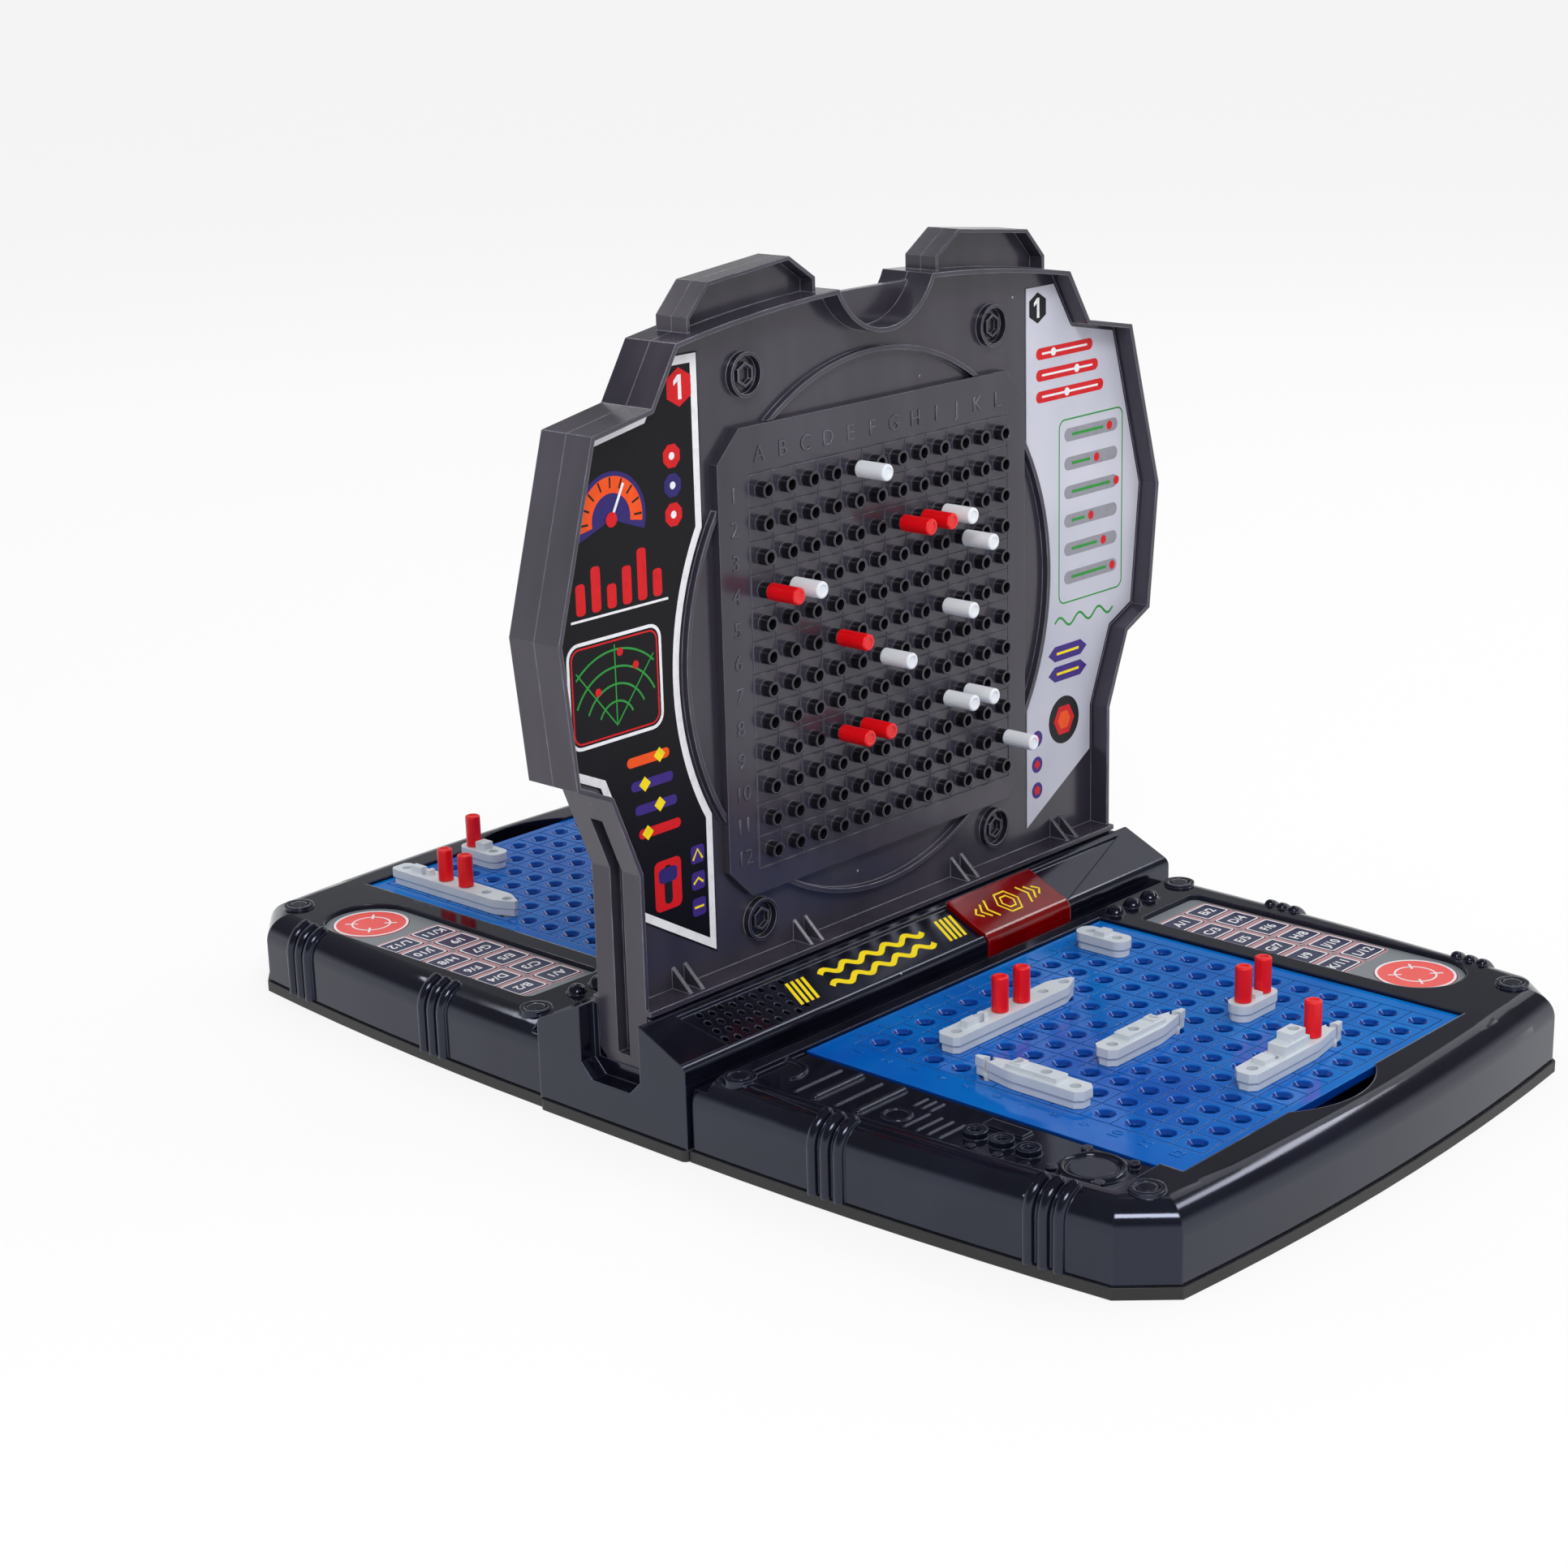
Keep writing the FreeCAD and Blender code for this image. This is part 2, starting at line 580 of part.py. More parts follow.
def centred_rectangle(body, name, length, width):
    """Sketch of a rectangle about the body's origin, bound to the sheet."""
    sketch = body.newObject("Sketcher::SketchObject", name)
    sketch.AttachmentSupport = [(origin_plane(body, "XY_Plane"), "")]
    sketch.MapMode = "FlatFace"
    points = [Vector(-9, -5, 0), Vector(9, -5, 0), Vector(9, 5, 0), Vector(-9, 5, 0)]
    for number in range(4):
        sketch.addGeometry(Part.LineSegment(points[number], points[(number + 1) % 4]), False)
    for number in range(4):
        sketch.addConstraint(Sketcher.Constraint("Coincident", number, 2, (number + 1) % 4, 1))
    for number in (0, 2):
        sketch.addConstraint(Sketcher.Constraint("Horizontal", number))
        sketch.addConstraint(Sketcher.Constraint("Vertical", number + 1))
    sketch.addConstraint(Sketcher.Constraint("Symmetric", 0, 1, 2, 1, -1, 1))
    long_side = sketch.addConstraint(Sketcher.Constraint("DistanceX", 0, 1, 0, 2, 18))
    short_side = sketch.addConstraint(Sketcher.Constraint("DistanceY", 1, 1, 1, 2, 10))
    sketch.setExpression("Constraints[%d]" % long_side, length)
    sketch.setExpression("Constraints[%d]" % short_side, width)
    return sketch


def padded_body(label, pads):
    """Body of stacked rectangular pads: (length, width, start, height) as sheet expressions."""
    body = doc.addObject("PartDesign::Body", label)
    body.Label = label
    for number, (length, width, start, height) in enumerate(pads):
        sketch = centred_rectangle(body, "%s_sketch_%d" % (label, number), length, width)
        sketch.setExpression("AttachmentOffset.Base.z", start)
        pad = body.newObject("PartDesign::Pad", "%s_pad_%d" % (label, number))
        pad.Profile = sketch
        pad.setExpression("Length", height)
        doc.recompute()
    PIECES.append(body)
    return body


BAY_LENGTH = "(Sizes.battery_length + 2 * (Sizes.battery_nub_length + Sizes.contact_thickness" \
    " + Sizes.running_gap))"
BAY_WIDTH = "(Sizes.battery_count * (Sizes.battery_diameter + Sizes.running_gap))"


def battery_door():
    length = BAY_LENGTH + " + Sizes.bay_wall"
    width = BAY_WIDTH + " + Sizes.bay_wall"
    body = padded_body("battery_door", [(length, width, "Sizes.door_rise", "Sizes.door_thickness")])
    grip = centred_rectangle(body, "battery_door_grip", BAY_LENGTH + " * 0.2", BAY_WIDTH + " * 0.5")
    grip.setExpression("AttachmentOffset.Base.z", "Sizes.door_rise")
    pocket = body.newObject("PartDesign::Pocket", "battery_door_pocket")
    pocket.Profile = grip
    pocket.Reversed = True
    pocket.setExpression("Length", "Sizes.door_thickness * 0.4")
    before = body.Shape.Volume
    doc.recompute()
    if body.Shape.Volume >= before:
        raise RuntimeError("the battery door's grip cuts nothing")


def power_switch():
    knob_top = "Sizes.plinth_height + Sizes.snug_gap"
    body = padded_body("power_switch", [
        ("Sizes.switch_length", "Sizes.switch_width", "Sizes.door_rise", knob_top + " - Sizes.door_rise"),
        ("Sizes.switch_length + Sizes.switch_travel", "Sizes.switch_width + 4 * Sizes.running_gap", knob_top,
         "Sizes.door_thickness")])
    body.setExpression("Placement.Base.x", "Sizes.switch_place")


def bound(kind, label, rules):
    """Part primitive whose properties follow the sheet."""
    made = doc.addObject(kind, label)
    made.Label = label
    for name, rule in rules.items():
        made.setExpression(name, rule)
    return made


def batteries():
    cells = []
    for number in range(count("battery_count")):
        across = "(%d - (Sizes.battery_count - 1) / 2) * (Sizes.battery_diameter + Sizes.running_gap)" % number
        turn = FreeCAD.Rotation(Vector(0, 1, 0), 90 if number % 2 == 0 else -90)
        sign = "-" if number % 2 == 0 else ""
        height = "Sizes.door_rise + Sizes.door_thickness + Sizes.running_gap + Sizes.battery_diameter / 2"
        can = bound("Part::Cylinder", "battery_can_%d" % number,
                    {"Radius": "Sizes.battery_diameter / 2", "Height": "Sizes.battery_length"})
        nub = bound("Part::Cylinder", "battery_nub_%d" % number,
                    {"Radius": "Sizes.battery_nub / 2",
                     "Height": "Sizes.battery_length + Sizes.battery_nub_length"})
        for part in (can, nub):
            part.Placement = FreeCAD.Placement(Vector(0, 0, 0), turn)
            part.setExpression("Placement.Base.x", sign + "Sizes.battery_length / 2")
            part.setExpression("Placement.Base.y", across)
            part.setExpression("Placement.Base.z", height)
        cell = doc.addObject("Part::MultiFuse", "battery_%d" % number)
        cell.Shapes = [can, nub]
        cells.append(cell)
    group = doc.addObject("Part::Compound", "batteries")
    group.Label = "batteries"
    group.Links = cells
    PIECES.append(group)


def battery_contacts():
    plates = []
    for side in (-1, 1):
        for number in range(count("battery_count")):
            pitch = size("battery_diameter") + size("running_gap")
            y = (number - (count("battery_count") - 1) / 2) * pitch
            half = size("battery_diameter") * 0.4
            edge = side * (bay_half_length - size("snug_gap") * 0.2)
            deep = edge - side * size("contact_thickness")
            plates.append(block(min(edge, deep), max(edge, deep), y - half, y + half,
                                battery_axis - half, battery_axis + half))
    return Part.makeCompound(plates)


# Boards, lamps and speaker
def circuit_boards():
    pieces = []
    width = console_side - size("wall") - slot_half - size("wall") - 4 * size("running_gap")
    middle = -(slot_half + size("wall") + 2 * size("running_gap") + width / 2)
    level = size("board_height")
    start = bay_half_length + size("bay_wall") + 2
    end = window_end + 8
    board = block(start, end, middle - width / 2, middle + width / 2, level, level + size("board_thickness"))
    lamp_x = (size("window_start") + window_end) / 2 + 4
    lamp = upright(size("lamp_diameter"), size("lamp_height") - size("lamp_diameter") / 2, lamp_x, middle,
                   level + size("board_thickness"))
    cap_z = level + size("board_thickness") + size("lamp_height") - size("lamp_diameter") / 2
    lamp = lamp.fuse(Part.makeSphere(size("lamp_diameter") / 2, Vector(lamp_x, middle, cap_z),
                                     Vector(0, 0, 1), 0, 90))
    chip = block(start + 3, start + 15, middle - 4, middle + 4, level + size("board_thickness"),
                 level + size("board_thickness") + 2)
    post = block(start + 18, start + 24, middle - width / 3, middle + width / 3,
                 size("plinth_height"), level)
    for shape in (board, lamp, chip):
        pieces += both_sides(shape)
    posts = both_sides(post)
    pieces += both_sides(keypad_circuit())
    return Part.makeCompound(pieces), posts


def keypad_circuit():
    return film_face(size("running_gap"), circuit_under).extrude(Vector(0, 0, size("circuit_thickness")))


def speaker():
    """Oval speaker under the near sound holes, tilted with the slope."""
    half = size("speaker_width") / 2
    run = size("speaker_length") / 2 - half
    basket = block(-run, run, -half, half, -size("speaker_thickness"), 0)
    for side in (-1, 1):
        basket = basket.fuse(upright(2 * half, size("speaker_thickness"), side * run, 0,
                                     -size("speaker_thickness")))
    magnet = upright(half * 1.2, size("speaker_thickness"), 0, 0, -2 * size("speaker_thickness"))
    shape = basket.fuse(magnet).removeSplitter()
    middle = (size("sound_start") + size("sound_pitch") * (count("sound_columns") - 1) / 2)
    across = (console_side + size("crest_width") / 2) / 2
    height = (size("ridge_height") + size("crest_height")) / 2
    drop = size("wall") + size("snug_gap")
    place = Vector(middle, -across + drop * math.sin(slope), height - drop * math.cos(slope))
    shape.Placement = FreeCAD.Placement(place, FreeCAD.Rotation(Vector(1, 0, 0), math.degrees(slope)))
    return shape


# Trays
def tray_wire(inset):
    """Plan of the near tray, drawn in by inset on every side."""
    half = size("tray_width") / 2
    side_end = tray_start + size("tray_reach") - size("outer_bow") - size("corner_cut_y")
    corner = tray_start + size("tray_reach") - size("outer_bow")
    drawn = half - size("tray_taper")
    middle = (tray_start + side_end) / 2
    belly = half - size("tray_taper") / 4
    right = [Vector(half, -tray_start, 0), Vector(belly, -middle, 0), Vector(drawn, -side_end, 0)]
    cut = Vector(drawn - size("corner_cut_x"), -corner, 0)
    left = [Vector(-point.x, point.y, 0) for point in right]
    cut_left = Vector(-cut.x, cut.y, 0)
    apex = Vector(0, -(tray_start + size("tray_reach")), 0)
    wire = Part.Wire([Part.Arc(*right).toShape(), Part.makeLine(right[2], cut),
                      Part.Arc(cut, apex, cut_left).toShape(), Part.makeLine(cut_left, left[2]),
                      Part.Arc(left[2], left[1], left[0]).toShape(), Part.makeLine(left[0], right[0])])
    if inset:
        wire = wire.makeOffset2D(-inset)
    return wire


def tray_face(inset, z):
    face = Part.Face(tray_wire(inset))
    face.translate(Vector(0, 0, z))
    return face


def tray_side_x(distance):
    """Half width of the tray's wall at a distance from the middle of the case."""
    side_end = tray_start + size("tray_reach") - size("outer_bow") - size("corner_cut_y")
    share = (distance - tray_start) / (side_end - tray_start)
    return size("tray_width") / 2 - size("plinth_proud") - size("tray_taper") * share * share


def tray_block(inset, z0, z1):
    """Tray block and its outer top edges, leaving out the edge beside the console."""
    solid = tray_face(inset, z0).extrude(Vector(0, 0, z1 - z0))
    edges = []
    for edge in solid.Edges:
        box = edge.BoundBox
        if box.ZMin > z1 - 1e-6 and box.YMin < -(tray_start + inset) - 1:
            edges.append(edge)
    return solid, edges


def rounded_tray():
    """Outside of the tray; a rounding that the edges cannot take is eased a little."""
    solid, edges = tray_block(size("plinth_proud"), size("plinth_height"), deck)
    for ease in (1.0, 0.98, 1.02, 0.95, 0.9):
        rounded = solid.makeFillet(size("edge_round") * ease, edges)
        if rounded.isValid():
            return rounded
    raise RuntimeError("the tray's edges cannot be rounded")


def hollow_tray():
    """Inside of the tray, with its top edges cut back behind the rounding."""
    wall = size("wall")
    solid, edges = tray_block(size("plinth_proud") + wall, size("plinth_height") - 1, deck - wall)
    return solid.makeChamfer(max(size("edge_round") - wall * 1.5, 0.5), edges)


def film_face(inset, z):
    """Plan of the keypad film: square inner end, round outer end about the fire button."""
    half = film_half - inset
    start = size("film_start") + inset
    end = size("fire_centre")
    centre = size("keypad_centre")
    rounding = size("film_round")
    corners = [Vector(centre - half, -end, z), Vector(centre - half, -(start + rounding), z),
               Vector(centre - half + rounding, -start, z), Vector(centre + half - rounding, -start, z),
               Vector(centre + half, -(start + rounding), z), Vector(centre + half, -end, z)]
    bend = rounding * (1 - math.sqrt(0.5))
    left_bend = Vector(centre - half + bend, -(start + bend), z)
    right_bend = Vector(centre + half - bend, -(start + bend), z)
    tip = Vector(centre, -(end + half), z)
    return Part.Face(Part.Wire([
        Part.makeLine(corners[0], corners[1]), Part.Arc(corners[1], left_bend, corners[2]).toShape(),
        Part.makeLine(corners[2], corners[3]), Part.Arc(corners[3], right_bend, corners[4]).toShape(),
        Part.makeLine(corners[4], corners[5]), Part.Arc(corners[5], tip, corners[0]).toShape()]))


relief_top = deck - size("relief_sink")
relief_right = size("plate_left") - size("running_gap")
relief_left = -(tray_side_x(tray_start) - size("edge_round") - 1.0)
relief_inner = tray_start + size("gutter_width")
relief_outer = plate_end - 7.0


def relief_area(z0, z1):
    """Sunk area on the player's left, inside the rounded edge."""
    inner = tray_face(size("plinth_proud") + size("edge_round") + 1.0, z0).extrude(Vector(0, 0, z1 - z0))
    return inner.common(block(relief_left, relief_right, -relief_outer, -relief_inner, z0, z1))


def ring_at(x, y, z, diameter, thickness):
    """Raised ring of round section, half sunk in the surface at z."""
    return Part.makeTorus(diameter / 2, thickness / 2, Vector(x, y, z), Vector(0, 0, 1))


def bar_at(x0, x1, y, z, thickness):
    """Half-round bar along X with round ends, half sunk in the surface at z."""
    bar = Part.makeCylinder(thickness / 2, x1 - x0, Vector(x0, y, z), Vector(1, 0, 0))
    for x in (x0, x1):
        bar = bar.fuse(Part.makeSphere(thickness / 2, Vector(x, y, z)))
    return bar


def relief_details():
    """Moulded pipes, gauges, knobs and a porthole on the sunk area."""
    z = relief_top
    left = relief_left + 5.5
    right = relief_right - 3.5
    middle = (left + right) / 2
    swirl = Vector(right - 11.0, -(relief_inner + 8.0), z)
    circle = Part.makeCircle(0.9, swirl + Vector(7.6, 0, 0), Vector(0, 1, 0))
    swirl_arc = Part.Face(Part.Wire(circle)).revolve(swirl, Vector(0, 0, 1), 180)
    swirl_arc.rotate(swirl, Vector(0, 0, 1), -115)
    shapes = [swirl_arc]
    for step, thickness in ((22.0, 1.1), (29.5, 2.6), (37.5, 1.1), (45.5, 2.6)):
        shapes.append(bar_at(left, right, -(relief_inner + step), z, thickness))
    shapes.append(ring_at(middle - 4, -(relief_inner + 55.0), z, 8.0, 1.1))
    for step in (61.5, 66.0, 70.0, 74.0):
        shapes.append(bar_at(left + 1, middle + 2, -(relief_inner + step), z, 0.9))
    for step in (54.5, 57.5, 60.5):
        shapes.append(bar_at(middle + 4, right, -(relief_inner + step), z, 0.9))
    for number in range(3):
        y = -(relief_inner + 80.5 + number * 9.2)
        knob = upright(7.0, 2.4, middle - 1, y, z - 0.4).cut(upright(4.0, 1.2, middle - 1, y, z + 1.2))
        shapes.append(knob)
        shapes.append(upright(3.0, 1.4, middle - 8, y - 4.0, z - 0.4))
    shapes.append(block(middle + 5, right, -(relief_inner + 92), -(relief_inner + 78), z - 0.4, z + 0.9))
    porthole_y = -(relief_inner + 118.0)
    porthole_x = middle + 2.0
    shapes.append(ring_at(porthole_x, porthole_y, z, 17.0, 2.4))
    shapes.append(upright(13.0, 0.9, porthole_x, porthole_y, z - 0.4))
    for turn in (45, 135, 225, 315):
        reach = 11.0
        shapes.append(upright(3.2, 1.8, porthole_x + reach * math.cos(math.radians(turn)),
                              porthole_y + reach * math.sin(math.radians(turn)), z - 0.4))
    return shapes


def edge_ribs():
    """Half-round ribs up the side walls and round the edge, with round tips."""
    ribs = []
    radius = size("rib_radius")
    bend = size("edge_round")
    low = size("plinth_height")
    wrap = math.radians(size("rib_wrap"))
    for group in (size("rib_inner_group"), size("rib_outer_group")):
        for number in (-1, 0, 1):
            distance = tray_start + group + number * size("rib_pitch")
            for side in (-1, 1):
                x = side * tray_side_x(distance)
                centre = Vector(x - side * bend, -distance, deck - bend)
                rise = Part.makeCylinder(radius, deck - bend - low, Vector(x, -distance, low))
                circle = Part.makeCircle(radius, Vector(x, -distance, deck - bend), Vector(0, 0, 1))
                arc = Part.Face(Part.Wire(circle)).revolve(centre, Vector(0, -side, 0), size("rib_wrap"))
                end = centre + Vector(side * bend * math.cos(wrap), 0, bend * math.sin(wrap))
                ribs += [rise, arc, Part.makeSphere(radius, end)]
    return ribs


def corner_discs():
    """Ringed discs at the deck's corners."""
    far = tray_start + size("tray_reach") - size("outer_bow") - size("corner_cut_y")
    inner = tray_start + size("gutter_width") + size("disc_diameter") / 2 + 1.0
    side = tray_side_x(inner) - size("edge_round") - size("disc_diameter") / 2 + 4.5
    drawn = tray_side_x(far) - size("edge_round") - size("disc_diameter") / 2 - 1.0
    shapes = []
    for x, y in ((side, -inner), (-side, -inner), (drawn, -far), (-drawn, -far)):
        root = size("relief_sink") + 0.3
        disc = upright(size("disc_diameter"), size("disc_height") + root, x, y, deck - root)
        groove = upright(size("disc_diameter") * 0.72, size("disc_height"), x, y, deck + 0.35)
        core = upright(size("disc_diameter") * 0.56, size("disc_height") + 0.3, x, y, deck - 0.3)
        shapes.append(disc.cut(groove).fuse(core))
    return shapes


def tray_shell():
    wall = size("wall")
    proud = size("plinth_proud")
    low = size("plinth_height")
    outer = rounded_tray()
    shell = outer.cut(hollow_tray())
    gap = size("running_gap")
    ledge = size("ledge_width")
    well_left = size("plate_left") + ledge
    well_right = plate_right - ledge
    well_inner = -(size("plate_start") + ledge)
    well_outer = -(plate_end - ledge)
    floor = size("well_floor")
    thick = size("relief_floor")
    solids = [block(size("plate_left") - gap - wall, plate_right + gap + wall, -(plate_end + gap + wall),
                    -(size("plate_start") - gap - wall), plate_under - wall - size("snug_gap"), deck),
              block(well_left - wall, well_right + wall, well_outer - wall, well_inner + wall, low, plate_under)]
    finger_x = (size("plate_left") + plate_right) / 2
    finger_reach = size("finger_reach") + gap
    finger_y = -(plate_end - gap)
    finger_low = deck - size("finger_sink")
    solids.append(block(finger_x - size("finger_span") / 2 - wall, finger_x + size("finger_span") / 2 + wall,
                        finger_y - finger_reach - wall, well_outer, finger_low - wall, deck))
    solids.append(relief_area(relief_top - thick, deck - 0.05))
    solids.append(film_face(-wall, circuit_under - thick).extrude(Vector(0, 0, deck - circuit_under + thick)))
    gutter = block(-console_side * 4, console_side * 4, -(tray_start + size("gutter_width") + wall),
                   -tray_start, deck - size("gutter_sink") - thick, deck)
    solids.append(gutter)
    additions = [solid.common(outer) for solid in solids]
    additions += [screw_boss(x, y, deck - wall / 2) for x, y in screw_places()]
    shell = shell.multiFuse(additions)
    sink = plate_under - size("snug_gap")
    cuts = [block(size("plate_left") - gap, plate_right + gap, -(plate_end + gap), -(size("plate_start") - gap),
                  sink, deck + 5),
            block(well_left, well_right, well_outer, well_inner, floor, deck + 5)]
    span = size("finger_span") / 2
    scoop = Part.Face(Part.Wire([
        Part.Arc(Vector(finger_x - span, finger_y, finger_low),
                 Vector(finger_x, finger_y - finger_reach, finger_low),
                 Vector(finger_x + span, finger_y, finger_low)).toShape(),
        Part.makeLine(Vector(finger_x + span, finger_y, finger_low),
                      Vector(finger_x + span, well_outer + 1, finger_low)),
        Part.makeLine(Vector(finger_x + span, well_outer + 1, finger_low),
                      Vector(finger_x - span, well_outer + 1, finger_low)),
        Part.makeLine(Vector(finger_x - span, well_outer + 1, finger_low),
                      Vector(finger_x - span, finger_y, finger_low))]))
    cuts.append(scoop.extrude(Vector(0, 0, size("finger_sink") + 5)))
    cuts.append(relief_area(relief_top, deck + 5))
    cuts.append(film_face(-size("snug_gap"), circuit_under).extrude(Vector(0, 0, deck)))
    cuts.append(block(-console_side * 4, console_side * 4, -(tray_start + size("gutter_width")), -tray_start + 5,
                      deck - size("gutter_sink"), deck + 5))
    shell = shell.cut(Part.makeCompound(cuts))
    details = relief_details() + edge_ribs() + corner_discs()
    for number in range(3):
        x = size("dome_first") + number * size("dome_pitch")
        y = -(tray_start + size("gutter_width") + size("dome_radius") + 3.2)
        details.append(Part.makeSphere(size("dome_radius"), Vector(x, y, deck - 0.6), Vector(0, 0, 1), -15, 90))
    for x in (-size("hook_place"), size("hook_place")):
        low_z = size("hook_level")
        half = size("hook_width") / 2
        details.append(block(x - half, x + half, -(tray_start + proud + wall * 0.6),
                             -(console_side - wall * 1.6), low_z, low_z + size("hook_height")))
    shell = shell.multiFuse(details)
    return shell.removeSplitter()


def tray_base():
    low = size("plinth_height")

    def face_of(inset):
        return tray_face(inset, 0)

    base = rim_plate(face_of, low)
    additions = [upright(size("screw_head") + 2 * size("boss_wall"), low - 0.2, x, y, 0.2)
                 for x, y in screw_places()]
    base = base.multiFuse(additions)
    cuts = []
    for x, y in screw_places():
        cuts.append(upright(size("screw_head") + 2 * size("snug_gap"), screw_seat + 1, x, y, -1))
        cuts.append(upright(size("screw_shank") + 2 * size("snug_gap"), low + 2, x, y, -1))
    return base.cut(Part.makeCompound(cuts)).removeSplitter()


def case_screws():
    def screw(x, y):
        head = upright(size("screw_head"), size("screw_head_height"), x, y, size("plinth_sole"))
        cross = block(x - size("screw_head") * 0.3, x + size("screw_head") * 0.3, y - 0.4, y + 0.4,
                      size("plinth_sole"), size("plinth_sole") + 0.6)
        upright_cross = cross.copy()
        upright_cross.rotate(Vector(x, y, 0), Vector(0, 0, 1), 90)
        shank = upright(size("screw_shank"), size("screw_length"), x, y, screw_seat)
        return head.cut(cross.fuse(upright_cross)).fuse(shank)

    screws = [screw(x, y) for x, y in console_screw_places()]
    for x, y in screw_places():
        screws += both_sides(screw(x, y))
    return Part.makeCompound(screws)


# Keypads
def key_centre(column, row):
    x = size("keypad_centre") + (row - 0.5) * size("key_row_gap")
    return x, -(size("key_first") + column * size("key_pitch"))


def keypad_film():
    film = film_face(0, film_under).extrude(Vector(0, 0, size("film_thickness")))
    gap = size("key_gap")
    cuts = []
    for column in range(count("key_columns")):
        for row in range(2):
            x, y = key_centre(column, row)
            half_x = size("key_width") / 2 + gap
            half_y = size("key_length") / 2 + gap
            cuts.append(block(x - half_x, x + half_x, y - half_y, y + half_y, film_under - 1, film_top + 1))
    cuts.append(upright(size("fire_diameter") + 2 * gap, size("film_thickness") + 2,
                        size("keypad_centre"), -size("fire_centre"), film_under - 1))
    return film.cut(Part.makeCompound(cuts))


KEY_BASE = "Sizes.deck_height - Sizes.film_sink + Sizes.key_proud - Sizes.key_thickness"


def keypad_keys(side, sign):
    """Twelve coordinate keys and the fire button of one player, each bound to the sheet."""
    letters = "abcdefghijkl"
    for column in range(count("key_columns")):
        for row in range(2):
            number = column * 2 + row
            label = "%s_key_%s%d" % (side, letters[number], number + 1)
            x = "(Sizes.keypad_centre + (%d - 0.5) * Sizes.key_row_gap)" % row
            y = "(Sizes.key_first + %d * Sizes.key_pitch)" % column
            key = bound("Part::Box", label, {
                "Length": "Sizes.key_width", "Width": "Sizes.key_length", "Height": "Sizes.key_thickness",
                "Placement.Base.x": "%d * %s - Sizes.key_width / 2" % (sign, x),
                "Placement.Base.y": "%d * %s - Sizes.key_length / 2" % (-sign, y),
                "Placement.Base.z": KEY_BASE})
            PIECES.append(key)
    fire = bound("Part::Cylinder", side + "_fire_button", {
        "Radius": "Sizes.fire_diameter / 2", "Height": "Sizes.key_thickness",
        "Placement.Base.x": "%d * Sizes.keypad_centre" % sign,
        "Placement.Base.y": "%d * Sizes.fire_centre" % -sign,
        "Placement.Base.z": KEY_BASE})
    PIECES.append(fire)


# Sea plates
def sea_plate():
    plate = block(size("plate_left"), plate_right, -plate_end, -size("plate_start"), plate_under, plate_top)
    cuts = []
    total = count("grid_count")
    pitch = size("sea_pitch")
    half = size("line_width") / 2
    floor = plate_top - size("line_depth")
    first_x, first_y = sea_hole_at(0, 0)
    last_x, last_y = sea_hole_at(total - 1, total - 1)
    for number in range(total + 1):
        x = first_x - pitch / 2 + number * pitch
        y = first_y - pitch / 2 + number * pitch
        cuts.append(block(x - half, x + half, first_y - pitch / 2, last_y + pitch / 2, floor, plate_top + 1))
        cuts.append(block(first_x - pitch / 2, last_x + pitch / 2, y - half, y + half, floor, plate_top + 1))
    lines = cuts[0].multiFuse(cuts[1:])
    holes = []
    for column in range(total):
        for row in range(total):
            x, y = sea_hole_at(column, row)
            dish_floor = plate_top - size("sea_dish_depth")
            holes.append(Part.makeCone(size("sea_hole") / 2, size("sea_dish") / 2, size("sea_dish_depth"),
                                       Vector(x, y, dish_floor)))
            holes.append(upright(size("sea_hole"), size("plate_thickness"), x, y, plate_under - 0.5))
    return plate.cut(lines).cut(Part.makeCompound(holes))


# Ships: each is drawn along X over cells of the sea grid, bow to +X, then set on its cells
hull_low = plate_top + size("snug_gap")
hull_deck = hull_low + size("hull_height")


def hull_plan(length, width, bow, stern):
    """Plan of a hull with a pointed bow and cut stern, about the middle of its length."""
    half = length / 2
    side = width / 2
    return [(-half, -side + stern, 0), (-half + stern, -side, 0), (half - bow, -side, bow),
            (half, -0.7, 0), (half, 0.7, 0), (half - bow, side, bow), (-half + stern, side, 0),
            (-half, side - stern, 0)]


